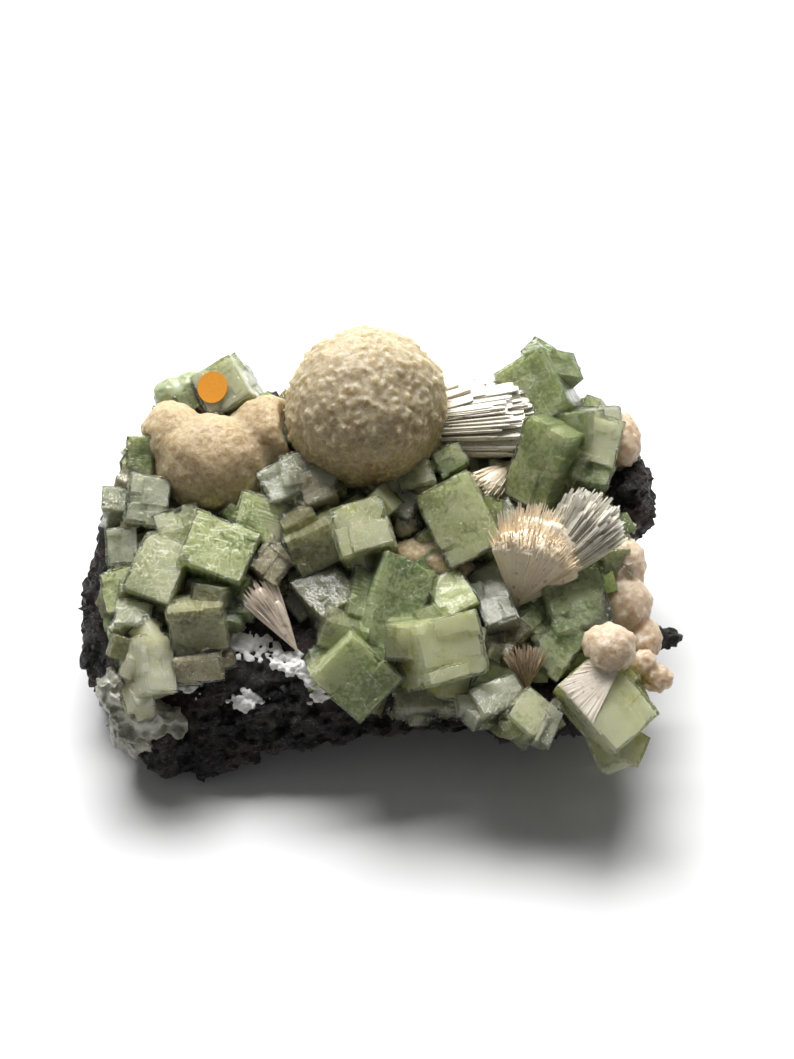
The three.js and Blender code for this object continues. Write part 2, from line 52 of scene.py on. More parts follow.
# Each crystal is a block: its middle, its sides, its turn about X, Y and Z in degrees, and its tint.
APOPHYLLITE = {
    "apophyllite_centre_bank": [
        ((-8, -15, 46), (13, 11.5, 15), (25, -5, 15), "yellow"),
        ((-20.5, -13, 42.5), (12.5, 10, 16), (60, 10, 25), "olive"),
        ((-26.5, -0.5, 46.5), (12, 9, 12), (15, 0, 25), "frost"),
        ((-19.5, -3, 46.5), (7.5, 8.5, 12), (15, 0, 20), "brown"),
        ((-15, 1.5, 46.5), (7, 7, 10), (25, 10, -30), "green"),
        ((-23, 1.5, 49), (11, 8, 10), (20, 5, 10), "frost"),
        ((-28, 1, 48.5), (8, 7, 9), (30, 10, 40), "frost"),
        ((-17.5, -1, 49.5), (7, 6, 8), (25, -10, -15), "frost"),
    ],
    "apophyllite_centre_right": [((16, -10, 44.5), (18.5, 14, 16), (35, -10, -65), "bright")],
    "apophyllite_left_bank": [
        ((-43, -17, 39), (15.5, 13, 18), (20, 5, -20), "green"),
        ((-34.5, -8.5, 41), (12.5, 11, 16), (25, 15, -15), "green"),
        ((-57, -21, 37.5), (11.5, 15, 14), (20, 0, -20), "pale"),
        ((-47.5, -30.5, 34), (12.5, 11, 18), (60, 5, 5), "olive"),
        ((-30.5, -19.5, 38.5), (8, 8.5, 12), (20, 10, -35), "brown"),
        ((-53, -9.5, 40), (10.5, 9, 12), (25, 5, 20), "pale"),
    ],
    "apophyllite_small_centre": [
        ((-4.5, 1, 45), (10.5, 9, 12), (20, 0, -40), "green"),
        ((1, -5, 44), (7.5, 7, 10), (20, 0, -30), "frost"),
        # Painted light: this crystal lies in the ball's shadow, and its bright tint lightens it there.
        ((-4, 0.5, 48), (10, 8.5, 10), (25, 5, -35), "bright"),
        ((5, 0, 49.5), (8, 7, 9), (20, -10, 15), "pale"),
    ],
    "apophyllite_dark_back": [
        ((7, 7, 45), (8.5, 6, 10), (25, 0, 10), "deep"),
        ((13, 5, 49), (7.5, 6, 10), (25, 0, 30), "green"),
    ],
    "apophyllite_right_large": [
        ((39, 5.5, 50), (11.5, 19.5, 20), (50, -35, -20), "green"),
        ((48.5, 9.5, 51), (10, 11, 14), (30, 5, -15), "pale"),
        ((47, 2, 47.5), (9.5, 6.5, 12), (25, 5, -20), "deep"),
        ((48.5, 18, 50), (15, 6, 12), (30, -5, 0), "frost"),
    ],
    "apophyllite_grey_small": [((27.5, -7, 41.5), (5, 7.5, 10), (25, -5, 35), "milky")],
    "apophyllite_pale_block": [
        ((23.5, -28, 34), (7.5, 15.5, 12.5), (5, -10, -165), "grey"),
        ((25.5, -19.5, 35.5), (8.5, 7, 9), (15, 10, 35), "green"),
        ((25.5, -36, 30.5), (8, 8, 9), (15, -10, 60), "brown"),
    ],
    "apophyllite_front_bank": [
        ((9.5, -41.5, 34.5), (15.5, 14, 18), (30, 20, 15), "yellow"),
        ((-3, -28, 35.5), (13, 21, 18), (40, 20, -20), "deep"),
        ((-10.5, -44, 31.5), (16, 13.5, 14), (55, 10, -45), "green"),
        ((-16.5, -27.5, 36.5), (11, 12.5, 9.5), (0, -5, -145), "dark"),
        ((13, -28, 34.5), (9.5, 10, 14), (10, 0, 30), "green"),
    ],
    "apophyllite_corner_right": [((48.5, -51.5, 27.5), (20, 14, 18), (25, 0, -50), "yellow")],
    "apophyllite_right_middle": [
        ((42, -27.5, 32.5), (14, 13.5, 16), (20, 5, 15), "deep"),
        ((38.5, -37.5, 30), (8.5, 12.5, 12), (30, -5, -40), "deep"),
        ((33.5, -31, 31), (8.5, 7.5, 10), (25, 5, 40), "deep"),
    ],
    "apophyllite_front_plates": [
        ((23, -51.5, 29), (11.5, 7, 8), (10, 10, 25), "milky"),
        ((30, -54, 25.5), (9, 8.5, 12), (20, 10, -40), "pale"),
        ((34.5, -57.5, 27), (3.5, 9, 6), (25, 10, -25), "milky"),
    ],
    "apophyllite_left_small": [
        ((-63, -31.5, 33.5), (8, 6.5, 10), (10, 5, -5), "pale"),
        ((-66, -24, 34.5), (8, 9.5, 10), (25, -5, 15), "green"),
    ],
    "apophyllite_brown_foot": [((-47, -41.5, 30), (11, 6, 10), (55, 5, 5), "brown")],
    "apophyllite_corner_left": [((-59.5, -43.5, 30.5), (7.5, 13.5, 14), (20, 35, 10), "cream")],
    "apophyllite_milky_left": [
        ((-62, -3.5, 42.5), (9.5, 11.5, 14), (25, 10, -5), "milky"),
        ((-69.5, -2.5, 42), (6, 6, 10), (20, 5, 0), "milky"),
    ],
    "apophyllite_milky_edge": [((-66.5, -13.5, 38.5), (7, 8.5, 10), (30, -5, 5), "milky")],
    "apophyllite_green_edge": [((-63.5, 9.5, 46.5), (6.5, 11, 12), (45, 0, 0), "green")],
    "apophyllite_back_left": [((-42.5, 26.5, 53), (12, 12, 16), (35, -15, 30), "pale")],
    "apophyllite_back_right": [((36, 22, 57.5), (12.5, 16, 15), (40, -20, 30), "green")],
}
CLEAR_GREY = {
    "grey_clear_slab": [
        ((5, -47, 21.5), (11, 6, 8), (15, 0, 5), "grey"),
        ((14.5, -47, 21.5), (9.5, 6.5, 8), (15, 0, -5), "grey"),
    ],
}
CORNER_NIP = 0.13  # share of a crystal's narrowest side that its corner faces take off

# A tint is the colour of the clear parts, the colour of the milky parts, and how milky the crystal is.
TINTS = {
    "green": ((0.40, 0.48, 0.15), (0.80, 0.84, 0.44), 0.38),
    "bright": ((0.54, 0.60, 0.20), (0.89, 0.91, 0.50), 0.44),
    "deep": ((0.33, 0.43, 0.14), (0.72, 0.79, 0.42), 0.38),
    "olive": ((0.40, 0.37, 0.15), (0.72, 0.69, 0.40), 0.40),
    "dark": ((0.22, 0.21, 0.10), (0.50, 0.49, 0.27), 0.32),
    "yellow": ((0.82, 0.82, 0.30), (0.98, 0.97, 0.60), 0.56),
    "pale": ((0.64, 0.66, 0.34), (0.92, 0.92, 0.62), 0.46),
    "frost": ((0.66, 0.70, 0.46), (0.94, 0.95, 0.78), 0.52),
    "milky": ((0.48, 0.50, 0.33), (0.72, 0.73, 0.55), 0.44),
    "brown": ((0.46, 0.37, 0.19), (0.74, 0.65, 0.44), 0.40),
    "cream": ((0.86, 0.81, 0.46), (0.97, 0.92, 0.71), 0.56),
    "grey": ((0.50, 0.50, 0.38), (0.72, 0.71, 0.58), 0.40),
}
DRUSE_TINTS = ("green", "green", "olive", "deep", "pale", "brown", "frost")


def turn_matrix(degrees):
    """The turn about X, then Y, then Z of a block's own axes."""
    x, y, z = (Matrix.Rotation(math.radians(d), 3, axis) for d, axis in zip(degrees, "XYZ"))
    return np.array(x @ y @ z)


def grown_to_row():
    """How far the row frame's origin is from the one that the crystals' places are given in."""
    dot_offset = (-1.4, 0.6)
    dot_rise = 0.35
    at, size, turn, _ = APOPHYLLITE["apophyllite_back_left"][0]
    spot = np.array(at) + turn_matrix(turn) @ np.array((*dot_offset, size[2] / 2 + dot_rise))
    low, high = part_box("paper_dot")
    return np.array((low + high) / 2) / MM - spot


SHIFT = grown_to_row()
BED_POINT = np.array((0, -18, 36.5))
BED_CLIMB = 0.33


def bed_height(y):
    return BED_POINT[2] + BED_CLIMB * (y - BED_POINT[1])


# --- noise


HASH_FACTORS = (374761393, 668265263, 1442695041)
HASH_SEED_FACTOR = 974634777
HASH_ROUNDS = ((13, 1274126177), (16, 1103515245))
HASH_MASK = 0xFFFFFFFF


def lattice(cell, seed):
    """A number from 0 to 1 for each whole-number cell."""
    mixed = ((cell.astype(np.int64) * HASH_FACTORS).sum(axis=-1) + seed * HASH_SEED_FACTOR) & HASH_MASK
    for shift, factor in HASH_ROUNDS:
        mixed = ((mixed ^ (mixed >> shift)) * factor) & HASH_MASK
    return (mixed ^ (mixed >> 15)) / (HASH_MASK + 1)


def smooth_noise(points, size, seed):
    """Smooth noise from -1 to 1 that changes over about size."""
    scaled = points / size
    cell = np.floor(scaled)
    t = scaled - cell
    t = t * t * (3 - 2 * t)
    total = np.zeros(len(points))
    for corner in np.ndindex(2, 2, 2):
        weight = np.prod(np.where(corner, t, 1 - t), axis=1)
        total += weight * lattice(cell + corner, seed)
    return 2 * total - 1


def layered(points, size, octaves, seed):
    """Noise of several sizes, each half as large and half as strong as the one before."""
    return sum(0.5**i * smooth_noise(points, size / 2**i, seed + i) for i in range(octaves))


def wandering(points, size):
    """A smooth way at each point, for bending a pattern."""
    return np.stack([smooth_noise(points, size, 90 + k) for k in range(3)], axis=1)


def scattered_cells(points, size, seed):
    """The distance to the nearest of scattered spots about size apart and the way from it, both in sizes, and
    the spot's own three numbers from 0 to 1."""
    scaled = points / size
    cell = np.floor(scaled)
    nearest = np.full(len(points), np.inf)
    way, numbers = np.zeros_like(scaled), np.zeros_like(scaled)
    for step in np.ndindex(3, 3, 3):
        near = cell + np.array(step) - 1
        off = scaled - near - np.stack([lattice(near, seed + k) for k in range(3)], axis=1)
        away = np.linalg.norm(off, axis=1)
        closer = away < nearest
        way[closer] = off[closer]
        numbers[closer] = np.stack([lattice(near[closer], seed + 3 + k) for k in range(3)], axis=1)
        nearest = np.minimum(nearest, away)
    return nearest, way, numbers


def facets(points, size, tilt, seed):
    """Height in sizes of small flat facets, each tilted its own way, as tiny crystals give a surface."""
    _, way, numbers = scattered_cells(points, size, seed)
    return (way * ((numbers - 0.5) * tilt)).sum(axis=1) + 0.5 * (numbers[:, 0] - 0.5)


# --- meshes


def new_mesh(name, points, faces):
    """A mesh from points in millimetres, where the crystals' places are given."""
    mesh = bpy.data.meshes.new(name)
    mesh.from_pydata(((points + SHIFT) * MM).tolist(), [], faces.tolist())
    mesh.update()
    return mesh


def new_object(name, data):
    made = bpy.data.objects.new(name, data)
    bpy.context.scene.collection.objects.link(made)
    return made


def read(items, key, width=3, kind=float):
    """One value of each of a mesh's items, as rows."""
    flat = np.empty(len(items) * width, kind)
    items.foreach_get(key, flat)
    return flat.reshape(-1, width)


def mesh_points(mesh):
    """A mesh's points in millimetres, where the crystals' places are given."""
    return read(mesh.vertices, "co") / MM - SHIFT


def mesh_normals(mesh):
    return read(mesh.vertex_normals, "vector")


def mesh_quads(mesh):
    return read(mesh.polygons, "vertices", 4, np.int64)


def set_points(mesh, points):
    mesh.vertices.foreach_set("co", ((points + SHIFT) * MM).ravel())
    mesh.update()


def set_attributes(mesh, **rows):
    """Stores colours and vectors at each point for the materials to read."""
    for name, values in rows.items():
        attribute = mesh.attributes.new(name, "FLOAT_VECTOR", "POINT")
        attribute.data.foreach_set("vector", np.ascontiguousarray(values, dtype=np.float32).ravel())


def evaluated_mesh(obj):
    """The object's mesh with its modifiers applied."""
    depsgraph = bpy.context.evaluated_depsgraph_get()
    made = bpy.data.meshes.new_from_object(obj.evaluated_get(depsgraph))
    made.name = obj.name
    return made


def discard(obj):
    mesh = obj.data
    bpy.data.objects.remove(obj)
    bpy.data.meshes.remove(mesh)


def remeshed(name, source, voxel, smooths=0):
    """A fine even mesh over the same form as the source mesh."""
    work = new_object(name, source.copy())
    remesh = work.modifiers.new("remesh", "REMESH")
    remesh.mode = "VOXEL"
    remesh.voxel_size = voxel * MM
    if smooths:
        smoothing = work.modifiers.new("smooth", "SMOOTH")
        smoothing.factor = 0.5
        smoothing.iterations = smooths
    made = evaluated_mesh(work)
    discard(work)
    return made


def one_skin(name, parts, voxel):
    """Overlapping closed forms as one form with a single skin."""
    overlapping = new_mesh(name, *joined(parts))
    skin = remeshed(name, overlapping, voxel)
    bpy.data.meshes.remove(overlapping)
    return skin


def finish_piece(name, mesh, look, node=None, smooth_angle=None):
    """Makes a piece of a mesh, with its material, its shading and its place on the frame."""
    material, slot = look
    obj = new_object(name, mesh)
    mesh.materials.clear()
    mesh.materials.append(material)
    if smooth_angle is None:
        mesh.shade_flat()
    else:
        mesh.shade_smooth()
        mesh.set_sharp_from_angle(angle=math.radians(smooth_angle))
    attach(obj, "root")
    if node:
        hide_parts(node)
    return obj


def surface_of_block(counts):
    """The quads that close a block with so many grid lines along each axis, and each point's line numbers."""
    strides = (counts[1] * counts[2], counts[2], 1)
    quads = []
    for axis in range(3):
        i, j = (a for a in range(3) if a != axis)
        u, v = np.meshgrid(np.arange(counts[i] - 1), np.arange(counts[j] - 1), indexing="ij")
        for side in (0, counts[axis] - 1):
            ring = [
                side * strides[axis] + (u.ravel() + du) * strides[i] + (v.ravel() + dv) * strides[j]
                for du, dv in ((0, 0), (1, 0), (1, 1), (0, 1))
            ]
            outward = (side > 0) == (axis != 1)
            quads.append(np.stack(ring if outward else ring[::-1], axis=1))
    keys, quads = np.unique(np.concatenate(quads), return_inverse=True)
    numbers = np.stack([keys // strides[0], keys % strides[0] // strides[1], keys % strides[1]], axis=1)
    return numbers, quads.reshape(-1, 4)


def grid_lines(half, rim, spacing):
    """Grid lines across a block, close at its rims. With no spacing there are only the rims."""
    inner = half - rim
    if not spacing:
        return np.array([-half, -inner, inner, half])
    between = max(1, math.ceil(2 * inner / spacing))
    middle = np.linspace(-inner, inner, between + 1)
    return np.concatenate([[-half, -half + 0.3 * rim], middle, [half - 0.3 * rim, half]])


EDGE_WEAR = 1.5  # how much further edges are worn down than faces wave


def block(half, rng, rim, spacing, nip=0.0, wave=0.0):
    """A closed block with rounded, worn edges, nipped upper corners and wavy faces."""
    half = np.array(half, float)
    rim = min(rim, 0.2 * half.min())
    axes = [grid_lines(h, rim, spacing) for h in half]
    numbers, quads = surface_of_block([len(lines) for lines in axes])
    points = np.stack([axes[a][numbers[:, a]] for a in range(3)], axis=1)
    core = np.clip(points, -(half - rim), half - rim)
    off = points - core
    at_edge = (np.abs(off) > 1e-9).sum(axis=1) >= 2
    length = np.linalg.norm(off[at_edge], axis=1, keepdims=True)
    points[at_edge] = core[at_edge] + off[at_edge] / length * rim
    if nip:
        lacking = nip - (half - np.abs(points)).sum(axis=1)
        cut = (lacking > 0) & (points[:, 2] > 0)
        points[cut] -= np.sign(points[cut]) * lacking[cut, None] / 3
    seed = int(rng.integers(1000))
    outward = np.sign(points) * (np.abs(points) / half) ** 8
    worn = np.clip(smooth_noise(points, 2, seed + 5), 0, 1) * at_edge * EDGE_WEAR
    return points + outward * (wave * (layered(points, 6, 3, seed) - worn))[:, None], quads


def unit(vectors):
    return vectors / np.linalg.norm(vectors, axis=-1, keepdims=True)


def placed(points, at, turn):
    return points @ turn_matrix(turn).T + np.array(at)


def joined(parts):
    """Several sets of points and faces as one."""
    points, faces, start = [], [], 0
    for some_points, some_faces in parts:
        points.append(some_points)
        faces.append(some_faces + start)
        start += len(some_points)
    return np.concatenate(points), np.concatenate(faces)


def united(name, parts):
    """The union of closed forms as one mesh."""
    made = new_object(name, new_mesh(name, *parts[0]))
    others = []
    for k, part in enumerate(parts[1:]):
        other = new_object(f"{name}_part_{k}", new_mesh(name, *part))
        join = made.modifiers.new("join", "BOOLEAN")
        join.operation = "UNION"
        join.solver = "MANIFOLD"
        join.object = other
        others.append(other)
    mesh = evaluated_mesh(made)
    for obj in (made, *others):
        discard(obj)
    return mesh


def crumb(rng):
    """A closed, roughly round form about its own middle, one unit in radius."""
    shape = bmesh.new()
    bmesh.ops.create_icosphere(shape, subdivisions=2, radius=1)
    points = np.array([v.co[:] for v in shape.verts])
    faces = np.array([[v.index for v in face.verts] for face in shape.faces])
    shape.free()
    swell = 1 + 0.25 * layered(points, 0.7, 2, int(rng.integers(1000)))
    return points * swell[:, None], faces


# The crystals have grown a little into one another, but for two: the dot and the satin rays lie on these.
OVERGROWTH = 1.05
SMOOTH_TOPPED = ("apophyllite_back_left", "apophyllite_corner_right")
# Smaller blocks roughen each crystal: some have grown in step with it, and some askew into its lower sides.
STEPS_PER_CRYSTAL = 7
FLANKS_PER_CRYSTAL = 4
CLOUD_MARGIN = (0.18, 0.7)  # from how far inside its faces a block is cloudy
BAYS = 0.26  # how deep the clear bays in the clouds are, in shares of a crystal's narrowest side


def grown_forms(half, rng, smooth_topped):
    """A crystal's own block and the smaller ones grown on it: half sizes, place and turn of each."""
    forms = [(half, np.zeros(3), (0, 0, 0))]
    for _ in range(STEPS_PER_CRYSTAL):
        small = half * rng.uniform(0.12, 0.8, 3)
        side = rng.choice((-1, 1), 3)
        side[2] = 1 if rng.random() < 0.8 else -1
        proud = rng.uniform(-0.5, 0.4, 3)
        if smooth_topped:
            proud[2] = -0.3
        forms.append((small, side * (half - small + proud), (0, 0, 0)))
    for _ in range(FLANKS_PER_CRYSTAL):
        small = half * rng.uniform(0.35, 0.68, 3)
        spot = rng.uniform(-0.8, 0.8, 3) * half
        side = rng.integers(2)
        spot[side] = rng.choice((-1, 1)) * half[side] * 0.92
        spot[2] = half[2] * rng.uniform(-0.7, 0.15)
        forms.append((small, spot, rng.uniform(-30, 30, 3)))
    return forms


def crystal_parts(spec, rng, smooth_topped):
    """The clear blocks that make up a crystal, and a cloudy block inside each of them."""
    at, size, turn, _ = spec
    shells, cores = [], []
    grown = 1 if smooth_topped else OVERGROWTH
    for half, spot, own_turn in grown_forms(grown * np.array(size) / 2, rng, smooth_topped):
        main = not shells
        nip = CORNER_NIP * min(size) if main else 0.12 * half.min()
        points, faces = block(half, rng, 0.1, 1.5 if main else 3, nip, 0.07)
        shells.append((placed(placed(points, spot, own_turn), at, turn), faces))
        inner = half - np.minimum(rng.uniform(*CLOUD_MARGIN, 3), 0.3 * half)
        points, faces = block(inner, rng, 0.08, 1.5 if main else 0, nip)
        if main:
            bays = np.clip(layered(points, 6.5, 2, int(rng.integers(1000))) + 0.05, 0, 1)
            points -= unit(points) * (BAYS * min(size) * bays)[:, None]
        cores.append((placed(placed(points, spot, own_turn), at, turn), faces))
    return shells, cores


def placed_block(half, at, turn, rng, nip=0.0):
    points, faces = block(half, rng, 0.1, 0, nip)
    return placed(points, at, turn), faces


def own_axes(points, specs):
    """For each point, the number of the crystal it is on and its place along that crystal's own axes."""
    best = np.full(len(points), 1e9)
    number = np.zeros(len(points), int)
    own = np.zeros_like(points)
    for k, (at, size, turn, _) in enumerate(specs):
        along = (points - np.array(at)) @ turn_matrix(turn)
        reach = (np.abs(along) / (np.array(size) / 2)).max(axis=1)
        closer = reach < best
        best[closer] = reach[closer]
        number[closer] = k
        own[closer] = along[closer]
    return number, own


# How much milkier a crystal is at its tip than at its middle, and on one of its sides.
TIP_MILKINESS = 0.26
SIDE_MILKINESS = 0.16


def dress_crystals(mesh, specs, rng):
    """Stores each point's tints, milkiness and place along its crystal's axes."""
    points = mesh_points(mesh)
    number, own = own_axes(points, specs)
    vary = 1 + rng.uniform(-0.08, 0.08, (len(specs), 1))
    clear, milky, share = (np.array([TINTS[spec[3]][k] for spec in specs]) for k in range(3))
    start = rng.uniform(0, 400, (len(specs), 3))
    above = np.clip((points[:, 2] - bed_height(points[:, 1])) / 9, 0, 1)
    tall = np.array([spec[1][2] for spec in specs])[number]
    milkiness = share[number] + TIP_MILKINESS * np.clip(2 * own[:, 2] / tall, -1, 1)
    lean = rng.uniform(-1, 1, (len(specs), 2))[number]
    milkiness += SIDE_MILKINESS * (2 * own[:, :2] / tall[:, None] * lean).sum(axis=1)
    set_attributes(
        mesh,
        clear_tint=(clear * vary)[number],
        milky_tint=(milky * vary)[number],
        own_axes=own + start[number],
        milkiness=np.stack([milkiness, above, above], axis=1),
    )


# --- materials


class Nodes:
    """Builds a material's nodes in few words."""

    def __init__(self, name):
        self.material = bpy.data.materials.new(name)
        self.material.use_nodes = True
        self.tree = self.material.node_tree
        self.shader = self.tree.nodes["Principled BSDF"]
        self.output = self.tree.nodes["Material Output"]

    def add(self, kind, inputs=None, **settings):
        node = self.tree.nodes.new(kind)
        for key, value in settings.items():
            setattr(node, key, value)
        for key, value in (inputs or {}).items():
            self.put(node.inputs[key], value)
        return node

    def put(self, socket, value):
        if isinstance(value, bpy.types.NodeSocket):
            self.tree.links.new(value, socket)
        else:
            socket.default_value = value

    def place(self):
        return self.add("ShaderNodeTexCoord").outputs["Object"]

    def attribute(self, name):
        return self.add("ShaderNodeAttribute", attribute_name=name).outputs["Vector"]

    def stretched(self, vector, scale):
        return self.add("ShaderNodeMapping", {"Vector": vector, "Scale": scale}).outputs["Vector"]

    def noise(self, vector, scale, detail=3.0, roughness=0.55, distortion=0.0):
        inputs = {"Vector": vector, "Scale": scale, "Detail": detail, "Roughness": roughness}
        return self.add("ShaderNodeTexNoise", {**inputs, "Distortion": distortion}).outputs["Fac"]

    def cells(self, vector, scale):
        return self.add("ShaderNodeTexVoronoi", {"Vector": vector, "Scale": scale}).outputs["Distance"]

    def ramp(self, value, low, high, low_to=0.0, high_to=1.0):
        inputs = {"Value": value, "From Min": low, "From Max": high, "To Min": low_to, "To Max": high_to}
        return self.add("ShaderNodeMapRange", inputs, interpolation_type="SMOOTHSTEP").outputs["Result"]

    def math(self, operation, a, b=0.0):
        return self.add("ShaderNodeMath", {0: a, 1: b}, operation=operation).outputs[0]

    def mix(self, share, a, b, blend="MIX"):
        node = self.add("ShaderNodeMix", data_type="RGBA", blend_type=blend)
        self.put(node.inputs["Factor"], share)
        for key, value in ((6, a), (7, b)):
            self.put(node.inputs[key], (*value, 1) if isinstance(value, tuple) else value)
        return node.outputs[2]

    def patches(self, color, tint, noise, low, high, share=1.0):
        """The colour with patches of a tint over it, where the noise is high."""
        return self.mix(self.ramp(noise, low, high, 0.0, share), color, tint)

    def bump(self, height, distance, strength=1.0, under=None):
        inputs = {"Height": height, "Distance": distance, "Strength": strength}
        if under is not None:
            inputs["Normal"] = under
        return self.add("ShaderNodeBump", inputs).outputs["Normal"]

    def surface(self, **values):
        """The material, once its shader's sockets have these values."""
        for key, value in values.items():
            self.put(self.shader.inputs[key.replace("_", " ")], value)
        return self.material

    def absorb(self, color, density):
        volume = self.add("ShaderNodeVolumeAbsorption", {"Color": (*color, 1), "Density": density})
        self.tree.links.new(volume.outputs[0], self.output.inputs["Volume"])


def glass_material(name, tint, density):
    """The clear outer part of the crystals: striated faces with fields of small glints."""
    n = Nodes(name)
    own = n.attribute("own_axes")
    haze = n.noise(n.stretched(own, (1, 1, 0.4)), 0.3, 4, 0.6, 1.0)
    color = n.patches((0.99, 0.995, 0.97), (0.90, 0.92, 0.84), haze, 0.40, 0.62)
    lines = n.noise(n.stretched(own, (3.0, 3.0, 0.1)), 1.0, 4, 0.6)
    field = n.ramp(n.noise(own, 0.24, 3, 0.6), 0.50, 0.64)
    grit = n.math("MULTIPLY", n.noise(own, 3.6, 1, 0.5), field)
    normal = n.bump(lines, 0.00014, 0.8)
    normal = n.bump(n.noise(own, 0.5, 2, 0.5), 0.0010, 0.7, normal)
    normal = n.bump(grit, 0.0008, 1.0, normal)
    rough = n.ramp(n.noise(n.place(), 380, 4, 0.6), 0.42, 0.72, 0.02, 0.14)
    n.absorb(tint, density)
    return n.surface(Base_Color=color, Roughness=rough, Normal=normal, IOR=1.535, Transmission_Weight=0.94)


def cloud_material():
    """The milky and green clouds inside the crystals, with streaks and white crack lines along their length;
    the crack lines are partly the crystals' own and partly painted glints.
    """
    n = Nodes("crystal_clouds")
    own = n.attribute("own_axes")
    split = n.add("ShaderNodeSeparateXYZ", {0: n.attribute("milkiness")})
    milkiness, above = split.outputs[0], split.outputs[1]
    cloud = n.noise(n.stretched(own, (1, 1, 0.6)), 0.10, 3, 0.5, 0.4)
    wisps = n.noise(n.stretched(own, (1, 1, 0.10)), 0.9, 5, 0.65, 0.4)
    value = n.math("ADD", n.math("MULTIPLY", cloud, 0.5), n.math("MULTIPLY", wisps, 0.5))
    over = n.math("SUBTRACT", value, n.math("SUBTRACT", 0.72, n.math("MULTIPLY", milkiness, 0.42)))
    clear, milky = n.attribute("clear_tint"), n.attribute("milky_tint")
    dark = n.mix(1.0, clear, (0.56, 0.66, 0.40), "MULTIPLY")
    color = n.patches(dark, clear, over, -0.16, -0.03)
    color = n.patches(color, milky, over, -0.04, 0.10)
    veil = n.mix(0.4, milky, (0.97, 0.96, 0.82))
    color = n.patches(color, veil, over, 0.08, 0.22, 0.8)
    field = n.ramp(n.noise(own, 0.22, 3, 0.6), 0.44, 0.62)
    # White crack lines: partly the crystals' own, partly painted glints where light catches them.
    cracks_and_painted_glints = n.ramp(n.noise(n.stretched(own, (2.4, 2.4, 0.3)), 1.0, 3, 0.7, 2.0), 0.63, 0.70, 0, 0.8)
    color = n.mix(n.math("MULTIPLY", cracks_and_painted_glints, field), color, (0.98, 0.98, 0.92))
    # Brown blots, strongest near the bed and fading higher up the crystals.
    blots = n.ramp(n.noise(n.place(), 170, 4, 0.6, 0.5), 0.50, 0.68)
    low_brown_blots = n.math("MULTIPLY", blots, n.ramp(above, 0.0, 0.9, 0.6, 0.06))
    color = n.mix(low_brown_blots, color, (0.34, 0.27, 0.12))
    return n.surface(
        Base_Color=color,
        Roughness=0.5,
        Subsurface_Weight=0.6,
        Subsurface_Radius=(1.0, 1.0, 0.7),
        Subsurface_Scale=0.003,
    )


def stilbite_material(name, light, dark, pink, gloss=0.45, grain=900, subsurface=1.0, clear=0.0):
    """Fine-grained stilbite: pearly and slightly translucent, with dark specks of painted shade that stand
    for its hollows.
    """
    n = Nodes(name)
    place = n.place()
    grains = n.noise(place, grain, 3, 0.7)
    color = n.patches(dark, light, n.noise(place, 90, 4, 0.6, 0.3), 0.35, 0.68)
    color = n.patches(color, pink, n.noise(place, 45), 0.50, 0.75, 0.5)
    color = n.patches(color, (0.93, 0.88, 0.76), grains, 0.35, 0.7, 0.4)
    # Painted shade: dark brown specks that stand for the shade in the hollows between grains.
    color = n.patches(color, (0.24, 0.15, 0.08), n.noise(place, 650), 0.60, 0.72, 0.5)
    return n.surface(
        Base_Color=n.mix(1.0, color, n.attribute("fibre_tint"), "MULTIPLY"),
        Roughness=n.ramp(grains, 0.3, 0.7, gloss + 0.12, gloss - 0.12),
        Normal=n.bump(grains, 0.0004, 0.7),
        IOR=1.5,
        Transmission_Weight=clear,
        Subsurface_Weight=subsurface,
        Subsurface_Radius=(1.0, 0.9, 0.75),
        Subsurface_Scale=0.006,
    )


def basalt_material():
    n = Nodes("basalt_rough")
    place = n.place()
    color = n.patches((0.004, 0.0035, 0.0035), (0.045, 0.038, 0.036), n.noise(place, 160, 6, 0.7), 0.40, 0.64)
    color = n.patches(color, (0.060, 0.030, 0.024), n.noise(place, 70, 4, 0.6, 0.4), 0.50, 0.66, 0.8)
    # Grey specks: partly a dusting of grains, partly painted glints of the rock's glassy crumbs.
    dust_and_painted_glints, moss = n.noise(place, 950, 5, 0.75), n.noise(place, 210, 5, 0.7)
    color = n.patches(color, (0.24, 0.22, 0.20), dust_and_painted_glints, 0.56, 0.70, 0.8)
    color = n.patches(color, (0.10, 0.12, 0.08), moss, 0.60, 0.72, 0.4)
    normal = n.bump(n.noise(place, 800, 6, 0.8), 0.0010)
    normal = n.bump(n.ramp(n.cells(place, 620), 0.0, 0.42), 0.0005, 0.8, normal)
    rough = n.ramp(n.noise(place, 500, 3, 0.6), 0.35, 0.65, 0.95, 0.30)
    return n.surface(Base_Color=color, Roughness=rough, Normal=normal, IOR=1.55)


def chalk_material():
    n = Nodes("mordenite_chalk")
    place = n.place()
    color = n.patches((0.90, 0.89, 0.86), (0.62, 0.58, 0.52), n.noise(place, 400, 4), 0.5, 0.75, 0.5)
    grains = n.noise(place, 1600, 5, 0.7)
    return n.surface(Base_Color=color, Roughness=0.95, Normal=n.bump(grains, 0.0004, 0.8))


def crust_material(name, light, dark, gloss):
    """A glassy druse of small grains."""
    n = Nodes(name)
    place = n.place()
    grains = n.noise(place, 1300, 4, 0.7)
    color = n.patches(dark, light, n.noise(place, 160, 5, 0.6, 0.4), 0.38, 0.66)
    return n.surface(
        Base_Color=n.patches(color, (0.84, 0.85, 0.80), grains, 0.55, 0.75, 0.5),
        Roughness=n.ramp(grains, 0.3, 0.7, gloss, gloss * 0.4),
        Normal=n.bump(grains, 0.0002, 0.6),
        IOR=1.5,
        Subsurface_Weight=0.25,
        Subsurface_Radius=(0.8, 0.9, 0.7),
        Subsurface_Scale=0.0015,
    )


